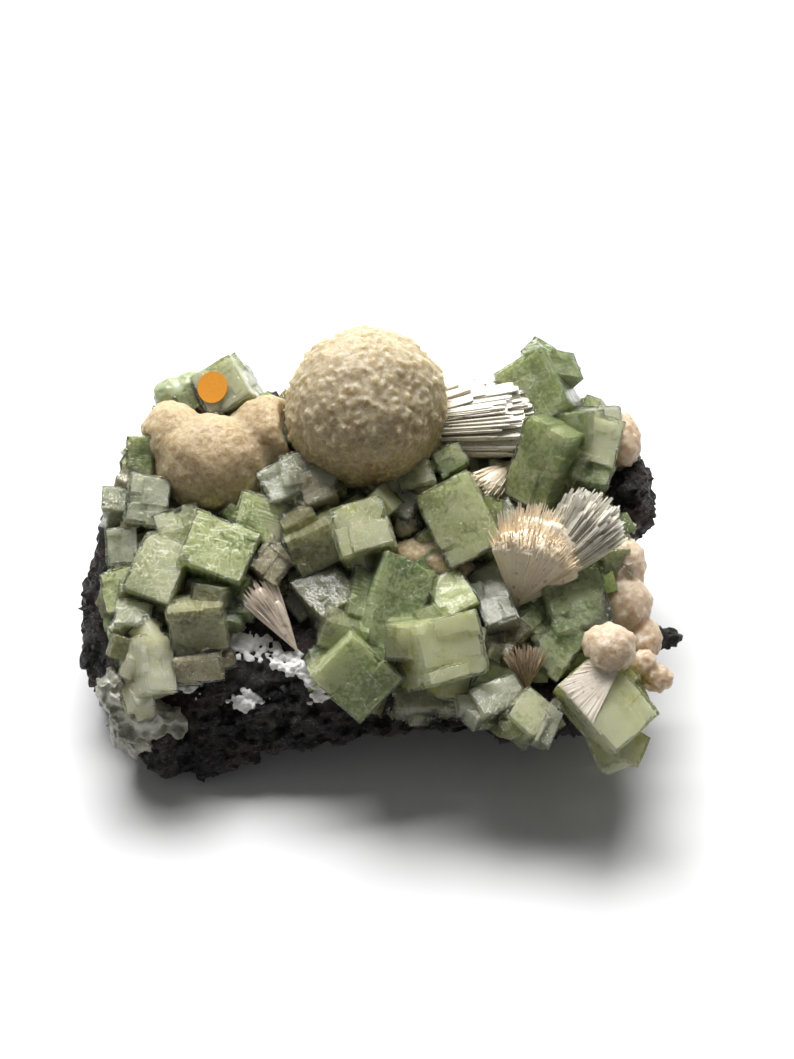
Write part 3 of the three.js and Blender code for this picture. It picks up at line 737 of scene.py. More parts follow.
def paper_material():
    n = Nodes("orange_paper")
    fibres = n.noise(n.place(), 3200, 4, 0.7)
    color = n.patches((0.80, 0.30, 0.018), (0.90, 0.38, 0.03), fibres, 0.35, 0.7)
    return n.surface(Base_Color=color, Roughness=0.7, Normal=n.bump(fibres, 0.00003, 0.5))


def floor_material():
    n = Nodes("pale_floor")
    color = n.patches((0.86, 0.86, 0.86), (0.89, 0.89, 0.89), n.noise(n.place(), 6), 0.3, 0.7)
    return n.surface(Base_Color=color, Roughness=0.6)


# A look is a material and the slot that it stands for.
CRYSTAL = (glass_material("apophyllite_glassy", (0.58, 0.70, 0.32), 70), "apophyllite_green")
CLEAR_CRYSTAL = (glass_material("clear_glassy", (0.76, 0.78, 0.62), 30), "clear_grey_crystal")
CLOUDS = cloud_material()
TAN = (
    stilbite_material("stilbite_tan", (0.61, 0.51, 0.30), (0.46, 0.35, 0.18), (0.54, 0.41, 0.26), 0.62),
    "stilbite_tan",
)
PINK = (
    stilbite_material("stilbite_pink", (0.76, 0.65, 0.50), (0.60, 0.48, 0.34), (0.72, 0.53, 0.42)),
    "stilbite_pink",
)
FIBRE = stilbite_material(
    "stilbite_fibres", (0.84, 0.78, 0.68), (0.74, 0.66, 0.55), (0.80, 0.66, 0.57), 0.3, 500, 0.0
)
SILKY = (FIBRE, "stilbite_pink")
BLADED = stilbite_material(
    "stilbite_silver_blades", (0.88, 0.86, 0.80), (0.78, 0.75, 0.67), (0.80, 0.74, 0.66), 0.2, 400, 0.0, 0.12
)
SILVER = (BLADED, "stilbite_silver")
BASALT = (basalt_material(), "basalt")
CHALKY = (chalk_material(), "mordenite_white")
HEULANDITE = (
    crust_material("heulandite_crust", (0.52, 0.52, 0.43), (0.20, 0.20, 0.15), 0.4),
    "heulandite_grey",
)
KNOBS = (crust_material("green_knobs", (0.58, 0.64, 0.42), (0.34, 0.40, 0.20), 0.3), "green_knobs")
BED_DRUSE = (crust_material("bed_druse", (0.56, 0.62, 0.36), (0.30, 0.34, 0.16), 0.4), "heulandite_grey")

# --- pieces


# A glint's rings of corners: height, width, thickness. Then the share of places on a crystal that have one.
GLINT_RINGS = ((0.0, 0.8, 0.8), (1.0, 0.8, 0.8))
GLINT_SHARES = {"frost": 0.5, "milky": 0.14, "pale": 0.14, "grey": 0.14}
FEW_GLINTS = 0.07
# Painted glints and sheen: how far past the white fibre material the glint flakes and the satin rays are
# lifted.
PAINTED_GLINT_AND_SHEEN_TINT = 1.25


def even_points(mesh):
    """Places evenly spread over a mesh, about a millimetre apart, and its normals there."""
    even = remeshed("even_points", mesh, 1.0)
    points, normals = mesh_points(even), mesh_normals(even)
    bpy.data.meshes.remove(even)
    return points, normals


def glints_on(points, normals, specs, rng):
    """Tiny white flakes, painted glints, in patches on the crystals' faces, most of them along the crystals'
    length.
    """
    number, _ = own_axes(points, specs)
    share = np.array([GLINT_SHARES.get(spec[3], FEW_GLINTS) for spec in specs])[number]
    patch = layered(points, 5, 3, int(rng.integers(1000)))
    chosen = np.flatnonzero(rng.random(len(points)) < share * np.clip(0.4 + 2.5 * patch, 0.1, 3))
    lengthwise = np.array([turn_matrix(spec[2])[:, 2] for spec in specs])[number[chosen]]
    out = normals[chosen]
    any_way = rng.normal(size=out.shape)
    way = np.where(rng.random((len(chosen), 1)) < 0.55, lengthwise + 0.25 * any_way, any_way)
    way -= (way * out).sum(axis=1, keepdims=True) * out * 0.9
    bold = 1 + 2 * share[chosen]
    long = np.exp(rng.normal(-1.3, 0.6, len(chosen))) * bold
    thin = rng.uniform(0.06, 0.15, len(chosen)) * bold
    roots = points[chosen] + out * 0.03 + rng.uniform(-0.4, 0.4, out.shape) * (1 - np.abs(out))
    return blades(roots, unit(way), long, thin, thin, rng.uniform(0, 3, len(chosen)), 0.8, GLINT_RINGS)


def make_crystals():
    glints = []
    for table, look in ((APOPHYLLITE, CRYSTAL), (CLEAR_GREY, CLEAR_CRYSTAL)):
        for name, specs in table.items():
            rng = np.random.default_rng(sum(map(ord, name)))
            grown = [crystal_parts(spec, rng, name in SMOOTH_TOPPED) for spec in specs]
            shells, cores = (sum(parts, []) for parts in zip(*grown))
            mesh = united("crystals_" + name, shells)
            clouds = united("clouds_" + name, cores)
            glints.append(glints_on(*even_points(mesh), specs, rng))
            for kind, form, own_look in (("crystals_", mesh, look), ("clouds_", clouds, (CLOUDS, look[1]))):
                dress_crystals(form, specs, rng)
                finish_piece(kind + name, form, own_look, name, smooth_angle=20)
    # Painted glints: white flakes stand for the sparkle of light on the crystals' faces.
    flakes = new_mesh("crystal_glints", *joined(glints))
    set_attributes(flakes, fibre_tint=np.full((len(flakes.vertices), 3), PAINTED_GLINT_AND_SHEEN_TINT))
    finish_piece("crystal_glints", flakes, (FIBRE, CRYSTAL[1]))


PITS = ((6.0, 1.8, 21), (2.8, 1.1, 31))  # the size, depth and seed of the rock's pits


def make_basalt():
    """The block with broken, pitted faces. Its underside stays level."""
    mesh = remeshed("basalt_block", NODES["basalt_matrix"].data, 1.08)
    points = mesh_points(mesh)
    height = 0.9 * layered(points, 10, 2, 1)
    height = height + 2.2 * facets(points, 4.6, 1.1, 5) + 1.3 * facets(points, 1.9, 1.4, 9)
    for size, deep, seed in PITS:
        near, _, numbers = scattered_cells(points, size, seed)
        pit = 0.14 + 0.28 * numbers[:, 0]
        height -= deep * np.clip(1 - (near / pit) ** 2, 0, 1) ** 0.6
    under_bed = np.abs(points[:, 2] - bed_height(points[:, 1])) < 1.2
    height[under_bed] *= 0.4
    height *= np.clip(points[:, 2] / 2, 0, 1)
    points += mesh_normals(mesh) * height[:, None]
    points[:, 2] = np.maximum(points[:, 2], 0)
    set_points(mesh, points)
    return finish_piece("basalt_block", mesh, BASALT, "basalt_matrix", smooth_angle=35)


BALL_MIDDLE = np.array((-7.5, 15, 58.5))
BALL_RADIUS = 20.6


def make_ball():
    """A ball of crystals that all point out of its middle, their tips making a rough skin."""
    rng = np.random.default_rng(23)
    middle, radius = BALL_MIDDLE, BALL_RADIUS
    base = remeshed("stilbite_ball", NODES["stilbite_ball_large"].data, 0.48, 4)
    away = mesh_points(base) - middle
    length = np.linalg.norm(away, axis=1)
    out = away / length[:, None]
    skin = np.clip((length / radius - 0.9) / 0.06, 0, 1)
    sphere = out * radius
    sphere += 0.35 * wandering(sphere, 1.3)
    swell = 0.6 * layered(sphere, 9, 2, 5)
    for size, deep, seed in ((3.4, 0.22, 3), (1.8, 0.35, 13), (1.1, 0.6, 15)):
        swell += size * deep * 0.5 * facets(sphere, size, 1.0, seed)
    points = middle + out * (length + skin * (radius - 0.7 - length) + skin * swell)[:, None]
    outer = skin > 0.9
    tips = bristles(rng, points[outer], out[outer], 2000, (0.8, 2.2), (0.6, 1.4), (-0.1, 1.0), 1.6, 0.22)
    mesh = one_skin("stilbite_ball", [(points, mesh_quads(base)), tips], 0.48)
    # Painted light and shade: the tint is lighter towards the ball's top and darker and browner towards its
    # bottom, and lighter on its outer tips than in the gaps between them.
    from_middle = mesh_points(mesh) - middle
    low = np.clip((from_middle[:, 2] + 9) / 22, 0, 1)
    height = np.clip((np.linalg.norm(from_middle, axis=1) / radius - 0.93) / 0.1, 0, 1)
    shade = (0.82 + 0.08 * low) * (0.86 + 0.16 * height)
    tint = np.stack([shade, shade * (0.90 + 0.10 * low), shade * (0.66 + 0.34 * low)], axis=1)
    set_attributes(mesh, fibre_tint=tint)
    finish_piece("stilbite_ball", mesh, TAN, "stilbite_ball_large", smooth_angle=28)


def lump_piece(name, node, look, voxel, smooths, grain, rough, seed, tint, tips):
    """A rounded mass made of small crystals, over the form of its solid."""
    base = remeshed(name, NODES[node].data, voxel, smooths)
    points, normals = mesh_points(base), mesh_normals(base)
    bent = points + 0.2 * grain * wandering(points, grain)
    height = facets(bent, grain, 1.2, seed) * grain + 0.5 * facets(bent, grain / 2, 1.2, seed + 3) * grain
    height = rough * (height + 0.5 * layered(points, grain * 4, 3, seed + 5))
    points += normals * height[:, None]
    parts = [(points, mesh_quads(base))]
    if tips:
        size = np.array((0.5, 1.3)) * grain
        rng = np.random.default_rng(seed)
        parts.append(bristles(rng, points, normals, tips, size, size * 0.7, (-0.05, 0.3 * grain), 0.6, 0.3))
    mesh = one_skin(name, parts, voxel)
    shade = 0.94 + 0.12 * layered(mesh_points(mesh), 7, 2, seed + 9)
    set_attributes(mesh, fibre_tint=np.array(tint) * shade[:, None])
    finish_piece(name, mesh, look, node, smooth_angle=30)


# A thin flat crystal along +Z, one unit long, wide and thick, as rings of corners: height, width, thickness.
BLADE_RINGS = ((0.0, 0.7, 0.8), (0.5, 1.0, 1.0), (0.93, 1.0, 1.0), (1.0, 0.7, 0.35))
TIP_RINGS = ((0.0, 0.9, 0.9), (0.4, 1.0, 1.0), (0.72, 0.95, 0.85), (1.0, 0.4, 0.1))


def unit_blade(rings):
    points = [
        (x * wide / 2, y * thick / 2, up)
        for up, wide, thick in rings
        for x, y in ((-1, -1), (1, -1), (1, 1), (-1, 1))
    ]
    last = 4 * len(rings) - 4
    faces = [(0, 3, 2, 1), (last, last + 1, last + 2, last + 3)]
    for k in range(0, last, 4):
        faces += [(k + a, k + (a + 1) % 4, k + 4 + (a + 1) % 4, k + 4 + a) for a in range(4)]
    return np.array(points), np.array(faces)


def blades(roots, axes, lengths, widths, thicknesses, spins, root_taper, rings=BLADE_RINGS):
    """Thin flat crystals, each from its root along its axis, as one set of points and faces."""
    points, faces = unit_blade(((0.0, root_taper, 0.8), *rings[1:]))
    along = unit(axes)
    across = unit(np.cross((0.01, 0.02, 1), along))
    third = np.cross(along, across)
    turn, side = np.cos(spins)[:, None], np.sin(spins)[:, None]
    ways = (across * turn + third * side, third * turn - across * side, along)
    corners = roots[:, None]
    for k, (way, size) in enumerate(zip(ways, (widths, thicknesses, lengths))):
        corners = corners + points[None, :, k, None] * (way * size[:, None])[:, None]
    starts = np.arange(len(roots)) * len(points)
    return corners.reshape(-1, 3), (faces[None] + starts[:, None, None]).reshape(-1, 4)


UP = (0.0, 0.0, 1.0)
FRONT_UP = (0.0, -0.64, 0.77)  # the way that the fans on the cluster's front slope face


def basis(axis, facing=UP):
    """Axes with the last one along the given axis and the first one square to it and to the way it faces."""
    along = unit(np.array(axis, float))
    across = unit(np.cross(facing, along))
    return np.stack([across, np.cross(along, across), along], axis=1)


def fan(
    rng, at, axis, spread, count, length, width, thick, start=0.0, root=0.0, flat=0.7, taper=0.3, facing=UP
):
    """Blades that spread from a place about an axis. spread holds the half angles across and up, start how
    far along its line each one begins, and root how wide the place is that they come from."""
    own = basis(axis, facing)
    ring, around = np.sqrt(rng.random(count)), rng.uniform(0, 2 * math.pi, count)
    side = np.tan(math.radians(spread[0]) * ring * np.cos(around))
    up = np.tan(math.radians(spread[1]) * ring * np.sin(around))
    off_axis = side[:, None] * own[:, 0] + up[:, None] * own[:, 1]
    axes = unit(own[:, 2] + off_axis)
    reach = rng.uniform(*length, count) * (1.04 - 0.12 * ring**2)
    begin = start * rng.uniform(0.85, 1.15, count)
    roots = np.array(at) + root * off_axis + axes * (reach * begin)[:, None]
    spins = rng.uniform(-flat, flat, count)
    widths, thicknesses = rng.uniform(*width, count), rng.uniform(*thick, count)
    return blades(roots, axes, reach * (1 - begin), widths, thicknesses, spins, taper)


def fibrous_body(rng, at, axis, spread, reach, ragged=0.02, fine=1.3, grid=(20, 80), facing=UP):
    """A closed cone with a domed end, grooved by fibres that spread from its point, and its points' shades.
    spread holds its half angles across and up, fine the fibres' spacing in degrees, and grid how many lines
    there are along it and round it."""
    own = basis(axis, facing)
    rings, around = grid
    turns = np.linspace(0, 2 * math.pi, around, endpoint=False)
    along, phi = np.meshgrid(np.linspace(0.04, 1.97, rings), turns, indexing="ij")
    ring = np.sin(np.clip(2 - along, 0, 1) * math.pi / 2)
    angles = np.stack([spread[0] * ring * np.cos(phi), spread[1] * ring * np.sin(phi), 0 * ring], axis=-1)
    flat = angles.reshape(-1, 3)
    seed = int(rng.integers(1000))
    fibres = layered(flat, fine, 2, seed)
    tufts = layered(flat, 9 * fine, 2, seed + 5)
    length = reach * (1 - 0.22 * ring.ravel() ** 3 + ragged * tufts) + 0.08 * fibres
    wide = np.tan(np.radians(flat[:, :2] * (1 + 0.05 * fibres + 0.10 * tufts)[:, None]))
    axes = unit(own[:, 2] + wide[:, :1] * own[:, 0] + wide[:, 1:] * own[:, 1])
    points = np.array(at) + axes * (length * np.clip(along.ravel(), 0, 1))[:, None]
    index = np.arange(rings * around).reshape(rings, around)
    after = np.roll(index, -1, axis=1)
    sides = np.stack([index[:-1], after[:-1], after[1:], index[1:]], axis=-1).reshape(-1, 4)
    k = np.arange(around // 2 - 1)
    lid = np.stack([k, k + 1, around - 2 - k, around - 1 - k], axis=1)
    shade = 0.93 + 0.12 * fibres + 0.08 * tufts
    return (points, np.concatenate([sides, lid[:, ::-1], lid + index[-1, 0]])), shade


def bristles(rng, points, normals, count, width, thickness, proud, sunk, lean):
    """Crystal tips that stand out of a surface at random places of it."""
    chosen = rng.choice(len(points), count, replace=False)
    axes = unit(normals[chosen] + lean * rng.normal(size=(count, 3)))
    roots = points[chosen] - axes * sunk
    lengths = sunk + rng.uniform(*proud, count)
    spins = rng.uniform(0, 2 * math.pi, count)
    widths, thicknesses = rng.uniform(*width, count), rng.uniform(*thickness, count)
    return blades(roots, axes, lengths, widths, thicknesses, spins, 0.9, TIP_RINGS)


def fibre_piece(name, at, groups, look, node, vary=0.1, smooth_angle=None):
    """One piece from blades and fibrous bodies that spread from a place. Each group has its points and faces,
    a body's with its shades too, how far it reaches, and its tints at the place and at its tips."""
    rng = np.random.default_rng(len(name))
    tints, parts = [], []
    for part, reach, root_tint, tip_tint in groups:
        if isinstance(part[0], tuple):
            (points, faces), own = part
        else:
            points, faces = part
            corners = 4 * len(BLADE_RINGS)
            own = np.repeat(rng.uniform(1 - vary, 1.05, len(points) // corners), corners)
        share = np.clip(np.linalg.norm(points - np.array(at), axis=1) / reach, 0, 1)[:, None] ** 1.5
        tints.append((np.array(root_tint) * (1 - share) + np.array(tip_tint) * share) * own[:, None])
        parts.append((points, faces))
    mesh = new_mesh(name, *joined(parts))
    set_attributes(mesh, fibre_tint=np.concatenate(tints))
    finish_piece(name, mesh, look, node, smooth_angle)


def make_right_sheaf(rng):
    """A fan of tan fibres, two bodies with needles and nap at their ends, and clear blades beside them."""
    at, low_axis = (28.3, -29.4, 35.6), (7, 11.7, 20.3)
    low = fibrous_body(rng, at, low_axis, (38, 16), 20.5, 0.02, 1.0, (34, 240), FRONT_UP)
    high = fibrous_body(rng, at, (9.5, 14, 20.5), (30, 9), 23.5, 0.03, 1.0, (24, 160), FRONT_UP)
    needle_axis = (6.3, 15.4, 20.8)
    needles = fan(rng, at, needle_axis, (26, 8), 700, (19, 26), (0.1, 0.25), (0.1, 0.2), 0.6, facing=FRONT_UP)
    nap = fan(rng, at, low_axis, (38, 16), 600, (18, 22), (0.15, 0.35), (0.12, 0.25), 0.78, facing=FRONT_UP)
    # Painted light: tints past one brighten the fibres, whose front faces away from the softbox and lies in
    # shade.
    groups = [
        (low, 19, (1.22, 1.12, 0.95), (1.3, 1.22, 1.08)),
        (high, 23, (1.2, 1.08, 0.92), (1.3, 1.25, 1.14)),
        (needles, 24, (1.1, 1.04, 0.94), (1.3, 1.28, 1.2)),
        (nap, 22, (1.2, 1.1, 0.95), (1.3, 1.24, 1.1)),
    ]
    fibre_piece("stilbite_right_sheaf", at, groups, SILKY, "stilbite_sheaf_right", smooth_angle=50)
    clear_axis = (22, 16, 21.3)
    clear = fan(
        rng, at, clear_axis, (18, 8), 700, (24, 34), (0.25, 0.9), (0.15, 0.3), 0.5, flat=0.5, facing=FRONT_UP
    )
    # Painted light: tints past one brighten the clear blades, whose front lies in shade.
    groups = [(clear, 30, (0.95, 0.95, 0.9), (1.3, 1.3, 1.26))]
    fibre_piece("stilbite_right_sheaf_clear", at, groups, SILVER, "stilbite_sheaf_right", vary=0.3)


def make_silver_blades(rng):
    at, more = (4, 16.5, 51.5), {"start": 0.3, "root": 55, "flat": 0.3}
    silver = fan(rng, at, (24, 0.6, 3.2), (9, 6), 760, (20, 31), (0.5, 1.8), (0.25, 0.6), **more)
    steps = fan(rng, at, (24, 3.0, 6.0), (8, 5), 160, (13, 22), (0.8, 2.4), (0.4, 0.8), **more)
    tints = ((1.0, 0.95, 0.85), (1.25, 1.24, 1.2))
    groups = [(silver, 28, *tints), (steps, 24, *tints)]
    fibre_piece("stilbite_silver_blades", at, groups, SILVER, "stilbite_blades_silver", vary=0.3)


def make_white_sheaf(rng):
    at, axis = (31, 7.5, 49), (-9, -9.5, 0)
    body = fibrous_body(rng, at, axis, (17, 12), 15, 0.1, facing=FRONT_UP)
    white = fan(rng, at, axis, (19, 12), 400, (10, 16.5), (0.12, 0.4), (0.12, 0.3), facing=FRONT_UP)
    groups = [(part, 15, (1.05, 0.98, 0.88), (1.25, 1.22, 1.14)) for part in (body, white)]
    fibre_piece("stilbite_white_sheaf", at, groups, SILKY, "stilbite_sheaf_white", smooth_angle=50)


def make_pink_sheaf(rng):
    at, groups = (-23.5, -39, 31), []
    for turned, high, reach in ((-6, 10, 14), (-9, 11, 17.5), (-12, 10.5, 15)):
        body = fibrous_body(rng, at, (turned, high, 9.5), (5.5, 4), reach, 0.08)
        groups.append((body, 20, (1.0, 0.93, 0.88), (0.98, 0.90, 0.85)))
    pink = fan(rng, at, (-9, 10.5, 9.5), (18, 7), 700, (8, 19.5), (0.08, 0.2), (0.08, 0.16))
    groups.append((pink, 20, (1.1, 1.03, 0.98), (1.1, 1.04, 1.0)))
    fibre_piece("stilbite_pink_sheaf", at, groups, SILKY, "stilbite_sheaf_pink", vary=0.35, smooth_angle=50)


def make_small_sheaf(rng):
    at = (30.5, -48, 28.5)
    small = fan(rng, at, (-0.5, 6, 8.5), (34, 22), 420, (5, 11), (0.12, 0.3), (0.1, 0.2), taper=0.6)
    groups = [(small, 10, (0.66, 0.50, 0.36), (0.90, 0.80, 0.66))]
    fibre_piece("stilbite_small_sheaf", at, groups, SILKY, "stilbite_sheaf_small", vary=0.5)


def make_sheaves():
    rng = np.random.default_rng(41)
    for make in (make_right_sheaf, make_silver_blades, make_white_sheaf, make_pink_sheaf, make_small_sheaf):
        make(rng)


# Bare black places in the bed, each with its middle and radius: a hollow, the front slope, the right edge.
BARE_PLACES = (((-25, -31), 8.5), ((-33, -44), 13), ((61, 2), 9))
BED_RANGE = ((-74, 68), (-56, 44))
BED_STEP = 1.1
BED_ROUGHNESS = 2.5
OVER_ALL = 200  # a height that nothing reaches
INMOST_STEP = 12
OFF_BED = -9.0


def survey_bed():
    """A grid over the bed, and how far inside the bed's edge and outside the bare places each point is."""
    tree = surface_tree(NODES["basalt_matrix"].data)
    xs, ys = (np.arange(low, high, BED_STEP) for low, high in BED_RANGE)
    x, y = np.meshgrid(xs, ys, indexing="ij")
    inside = np.zeros(x.shape, bool)
    for index in np.ndindex(x.shape):
        place = Vector((x[index], y[index], OVER_ALL))
        hit = tree.ray_cast(place, Vector((0, 0, -1)))[0]
        inside[index] = hit is not None and abs(hit.z - bed_height(y[index])) < BED_ROUGHNESS
    inside[[0, -1]] = False
    inside[:, [0, -1]] = False
    depth = np.zeros(x.shape)
    shrinking = inside.copy()
    for _ in range(INMOST_STEP):
        depth += shrinking * BED_STEP
        core = shrinking[1:-1, 1:-1].copy()
        core &= shrinking[:-2, 1:-1] & shrinking[2:, 1:-1] & shrinking[1:-1, :-2] & shrinking[1:-1, 2:]
        shrinking[1:-1, 1:-1] = core
    depth[depth == 0] = OFF_BED
    flat = np.stack([x.ravel(), y.ravel(), np.zeros(x.size)], axis=1)
    for (cx, cy), radius in BARE_PLACES:
        away = np.hypot(x - cx, y - cy) - radius + 2 * smooth_noise(flat, 4, 81).reshape(x.shape)
        depth = np.minimum(depth, away)
    return x, y, depth


DRUSE_COUNT = 480
DRUSE_MILKINESS = 0.45


def dress_druse(mesh, parts, tints):
    number = np.repeat(np.arange(len(parts)), [len(part[0]) for part in parts])
    clear, milky = (np.array([tint[k] for tint in tints])[number] for k in range(2))
    milkiness = np.full((len(number), 3), DRUSE_MILKINESS)
    set_attributes(mesh, clear_tint=clear, milky_tint=milky, own_axes=mesh_points(mesh), milkiness=milkiness)


def make_druse(x, y, depth):
    """Small crystals that fill the bed between the large ones, clear outside and cloudy inside."""
    rng = np.random.default_rng(77)
    spots = np.argwhere(depth > 1.5)
    shells, cores, tints = [], [], []
    for i, j in rng.permutation(spots)[:DRUSE_COUNT]:
        size = rng.uniform(2.0, 4.0, 3) * rng.choice((1, 1.3, 1.9))
        lift = rng.uniform(0.1, 0.5) * size[2] * min(1, depth[i, j] / 5) + 0.6
        at = (x[i, j], y[i, j], bed_height(y[i, j]) + lift)
        turn = (rng.uniform(-10, 50), rng.uniform(-25, 25), rng.uniform(-90, 90))
        shells.append(placed_block(size / 2, at, turn, rng, 0.12 * min(size)))
        cores.append(placed_block(size / 2 * rng.uniform(0.75, 0.96, 3), at, turn, rng))
        tints.append(TINTS[str(rng.choice(DRUSE_TINTS))])
    clouds = (CLOUDS, CRYSTAL[1])
    for name, parts, look in (("bed_small_crystals", shells, CRYSTAL), ("clouds_bed_small", cores, clouds)):
        mesh = new_mesh(name, *joined(parts))
        dress_druse(mesh, parts, tints)
        finish_piece(name, mesh, look, smooth_angle=20)


CRUST_DEPTH = 2.6  # how far below the bed the crust's underside lies


def make_bed_crust(x, y, depth):
    """The grainy pale crust that the crystals stand on, over the rock's sloping bed."""
    flat = np.stack([x.ravel(), y.ravel(), np.zeros(x.size)], axis=1)
    grain = 1.5 * facets(flat, 2.6, 1.2, 51) + 0.6 * facets(flat, 1.2, 1.2, 57)
    grain += 0.9 * layered(flat, 11, 2, 61)
    rise = np.clip(depth.ravel() / 3 + 0.3 * smooth_noise(flat, 3, 71), -1.2, 1) * 1.2
    bed = bed_height(y.ravel())
    top = flat + (bed + rise + grain * np.clip(rise, 0, 1))[:, None] * (0, 0, 1)
    index = np.arange(x.size).reshape(x.shape)
    quads = np.stack([index[:-1, :-1], index[1:, :-1], index[1:, 1:], index[:-1, 1:]], axis=-1).reshape(-1, 4)
    used, quads = np.unique(quads[(depth.ravel()[quads] > -1.6).all(axis=1)], return_inverse=True)
    quads = quads.reshape(-1, 4)
    top = top[used]
    under = np.column_stack([top[:, :2], bed[used] - CRUST_DEPTH])
    edges = np.concatenate([quads[:, [k, (k + 1) % 4]] for k in range(4)])
    keys, back_keys = (edges[:, a] * len(used) + edges[:, 1 - a] for a in range(2))
    rim = edges[~np.isin(keys, back_keys)]
    walls = np.column_stack([rim[:, ::-1], rim + len(used)])
    faces = np.concatenate([quads, quads[:, ::-1] + len(used), walls])
    mesh = new_mesh("bed_druse_crust", np.concatenate([top, under]), faces)
    finish_piece("bed_druse_crust", mesh, BED_DRUSE, smooth_angle=50)


PLAIN_TINT = (1, 1, 1)
CRUST_TINT = (0.94, 0.86, 0.80)
# Each mass: its solid and look, its voxel, smoothing, grain, roughness and seed, its tint and number of tips.
LUMPS = {
    "stilbite_left_mass": ("stilbite_mass_left", TAN, 0.55, 12, 1.3, 0.45, 101, (0.88, 0.82, 0.76), 500),
    "stilbite_cap": ("stilbite_cap_centre", TAN, 0.4, 6, 1.0, 0.35, 111, (0.96, 0.90, 0.82), 200),
    "stilbite_tuft": ("stilbite_tuft_centre", TAN, 0.35, 3, 0.9, 0.6, 121, PLAIN_TINT, 90),
    "stilbite_stub": ("stilbite_stub_centre", PINK, 0.35, 3, 0.9, 0.6, 131, PLAIN_TINT, 90),
    "stilbite_right_crust": ("stilbite_crust_right", PINK, 0.45, 5, 1.4, 0.5, 141, CRUST_TINT, 600),
    "stilbite_back_crust": ("stilbite_crust_back_right", PINK, 0.45, 5, 1.4, 0.5, 151, CRUST_TINT, 200),
    "stilbite_corner_ball": ("stilbite_ball_corner", PINK, 0.4, 8, 1.4, 0.35, 161, (0.84, 0.79, 0.74), 160),
    "stilbite_corner_lobes": ("stilbite_lobes_corner", PINK, 0.4, 6, 1.6, 0.6, 171, (0.88, 0.81, 0.76), 90),
    "green_knobs": ("green_knobs_back_left", KNOBS, 0.45, 6, 1.6, 0.5, 181, PLAIN_TINT, 0),
    "heulandite_crust": ("heulandite_crust_left", HEULANDITE, 0.5, 3, 2.6, 1.0, 191, PLAIN_TINT, 120),
}


def make_lumps():
    for name, lump in LUMPS.items():
        lump_piece(name, *lump)


# Each patch is a chain of places on the bare rock, each with the patch's half width there.
CHALK = {
    "mordenite_patch_left": [(-38.6, -34.8, 31, 1.8), (-36.1, -37.6, 30, 2.6), (-32.8, -36, 30.6, 2.6)],
    "mordenite_patch_middle": [(-29.5, -38, 29.9, 2.2), (-26.5, -40, 29.2, 2.8), (-24.5, -42.2, 28.5, 2.2)],
    "mordenite_patch_right": [
        (-22.1, -42.8, 28.3, 1.5),
        (-19.7, -45.2, 26.7, 1.7),
        (-17.9, -46.9, 24.1, 1.3),
    ],
    "mordenite_patch_low": [(-35.6, -46.8, 22.4, 2.2), (-37.1, -47.6, 20.9, 1.8)],
    "mordenite_patch_small": [(-49.5, -44.5, 24, 1.6)],
}
CRUMBS_PER_PLACE = 40


def surface_tree(mesh):
    """A mesh's faces for finding places on them, in millimetres."""
    corners = [Vector(p) for p in mesh_points(mesh)]
    return BVHTree.FromPolygons(corners, [tuple(face.vertices) for face in mesh.polygons])


def make_chalk(rock):
    """Chalky crumbs in irregular patches that lie on the bare rock."""
    surface = surface_tree(rock.data)
    for name, chain in CHALK.items():
        rng = np.random.default_rng(len(name) + 7)
        crumbs = []
        for x, y, z, wide in chain:
            for _ in range(CRUMBS_PER_PLACE):
                spot = Vector(np.array((x, y, z)) + rng.normal(size=3) * (wide * 0.75, wide * 0.55, 0.4))
                place, normal, _, _ = surface.find_nearest(spot)
                radius = rng.uniform(0.3, 0.85)
                points, faces = crumb(rng)
                points *= radius * rng.uniform(0.6, 1.4, 3)
                crumbs.append((points + np.array(place) + np.array(normal) * 0.1, faces))
        chalk_name = name.replace("patch", "chalk")
        mesh = one_skin(chalk_name, crumbs, 0.3)
        points = mesh_points(mesh)
        set_points(mesh, points + mesh_normals(mesh) * (0.22 * layered(points, 0.9, 2, 5))[:, None])
        finish_piece(chalk_name, mesh, CHALKY, name, smooth_angle=40)


# Satin needles on the corner crystal: the place they spread from and the way they spread, in the plane of its
# upper face, then the half angle, their lengths and how many they are.
RAYS_APEX = (-4.2, 7.6)
RAYS_TOWARD = math.atan2(-1.0, -0.28)
RAYS_SPREAD = 38
RAYS_REACH = (9, 20)
RAYS_COUNT = 380


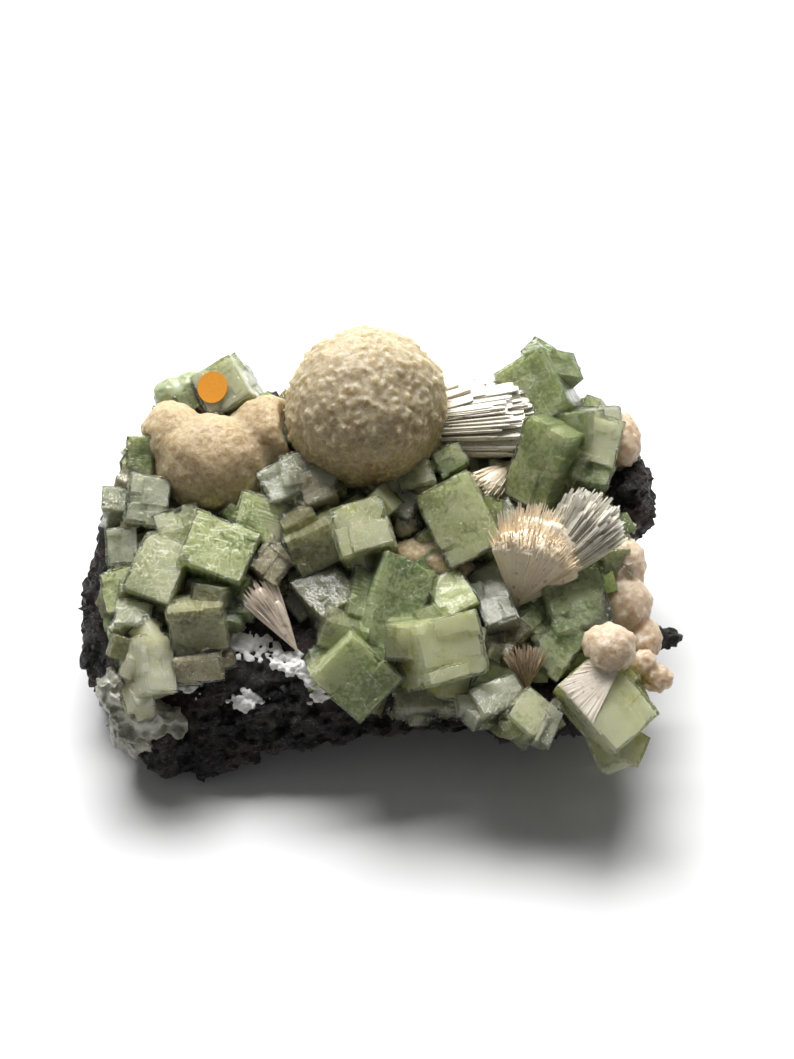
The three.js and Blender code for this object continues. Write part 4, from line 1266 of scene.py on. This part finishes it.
def make_corner_rays():
    """Satin needles that spread just under and over the corner crystal's upper face."""
    rng = np.random.default_rng(5)
    at, size, turn, _ = APOPHYLLITE["apophyllite_corner_right"][0]
    angles = np.radians(rng.uniform(-1, 1, RAYS_COUNT) * RAYS_SPREAD) + RAYS_TOWARD
    axes = np.stack([np.cos(angles), np.sin(angles), rng.normal(size=RAYS_COUNT) * 0.004], axis=1)
    roots = np.tile((*RAYS_APEX, size[2] / 2), (RAYS_COUNT, 1)) + axes * rng.uniform(0, 4, (RAYS_COUNT, 1))
    roots[:, 2] += rng.uniform(-0.08, 0.12, RAYS_COUNT)
    half = np.array(size[:2]) / 2 - 0.3
    room = np.where(axes[:, :2] > 0, half - roots[:, :2], -half - roots[:, :2]) / axes[:, :2]
    lengths = np.minimum(rng.uniform(*RAYS_REACH, RAYS_COUNT), room.min(axis=1))
    widths, thicknesses = rng.uniform(0.08, 0.24, RAYS_COUNT), rng.uniform(0.08, 0.2, RAYS_COUNT)
    points, faces = blades(roots, axes, lengths, widths, thicknesses, np.full(RAYS_COUNT, math.pi / 2), 0.4)
    mesh = new_mesh("corner_satin_rays", placed(points, at, turn), faces)
    # Painted sheen: the white needles are lifted past white, as the glint flakes are, to stand for their
    # satin sheen.
    set_attributes(mesh, fibre_tint=np.full((len(points), 3), PAINTED_GLINT_AND_SHEEN_TINT))
    finish_piece("corner_satin_rays", mesh, (FIBRE, SILVER[1]))


def make_dot():
    dot = NODES["paper_dot"]
    dot.data.materials.clear()
    dot.data.materials.append(paper_material())


# --- studio

CAMERA_ELEVATION = 50
CAMERA_DISTANCE = 376
CAMERA_AIM = (0, 0, 30)
LENS_LENGTH = 50
# The floor and the softbox are in metres.
FLOOR_HALF = 6.0
SOFTBOX_PLACE = Vector((-0.06, 0.50, 0.75))
SOFTBOX_AIM = Vector((0, 0, 0.03))
SOFTBOX_SIDES = (0.8, 0.40)
SOFTBOX_WATTS = 16
ROOM_STRENGTH = 0.12


def make_floor():
    mesh = bpy.data.meshes.new("studio_floor")
    corners = [(x * FLOOR_HALF, y * FLOOR_HALF, 0) for x, y in ((-1, -1), (1, -1), (1, 1), (-1, 1))]
    mesh.from_pydata(corners, [], [(0, 1, 2, 3)])
    mesh.materials.append(floor_material())
    new_object("studio_floor", mesh)


def make_camera():
    lens = bpy.data.cameras.new("photo_camera")
    lens.lens = LENS_LENGTH
    lens.clip_start = 0.01
    camera = new_object("photo_camera", lens)
    tilt = math.radians(CAMERA_ELEVATION)
    back = np.array((0, -math.cos(tilt), math.sin(tilt)))
    camera.location = (np.array(CAMERA_AIM) + back * CAMERA_DISTANCE + SHIFT) * MM
    camera.rotation_euler = (math.radians(90) - tilt, 0, 0)
    bpy.context.scene.camera = camera


def make_lights():
    """A large softbox behind and above the cluster, and a dim white room."""
    light = bpy.data.lights.new("key_softbox", "AREA")
    light.shape = "RECTANGLE"
    light.size, light.size_y = SOFTBOX_SIDES
    light.energy = SOFTBOX_WATTS
    lamp = new_object("key_softbox", light)
    lamp.location = SOFTBOX_PLACE
    lamp.rotation_euler = (SOFTBOX_AIM - SOFTBOX_PLACE).to_track_quat("-Z", "Y").to_euler()
    world = bpy.data.worlds.new("studio_world")
    bpy.context.scene.world = world
    world.use_nodes = True
    background = world.node_tree.nodes["Background"].inputs
    background["Color"].default_value = (1, 1, 1, 1)
    background["Strength"].default_value = ROOM_STRENGTH
    bpy.context.scene.view_settings.view_transform = "Standard"


make_floor()
make_camera()
make_lights()
make_crystals()
rock = make_basalt()
bed = survey_bed()
make_bed_crust(*bed)
make_druse(*bed)
make_ball()
make_lumps()
make_chalk(rock)
make_sheaves()
make_corner_rays()
make_dot()
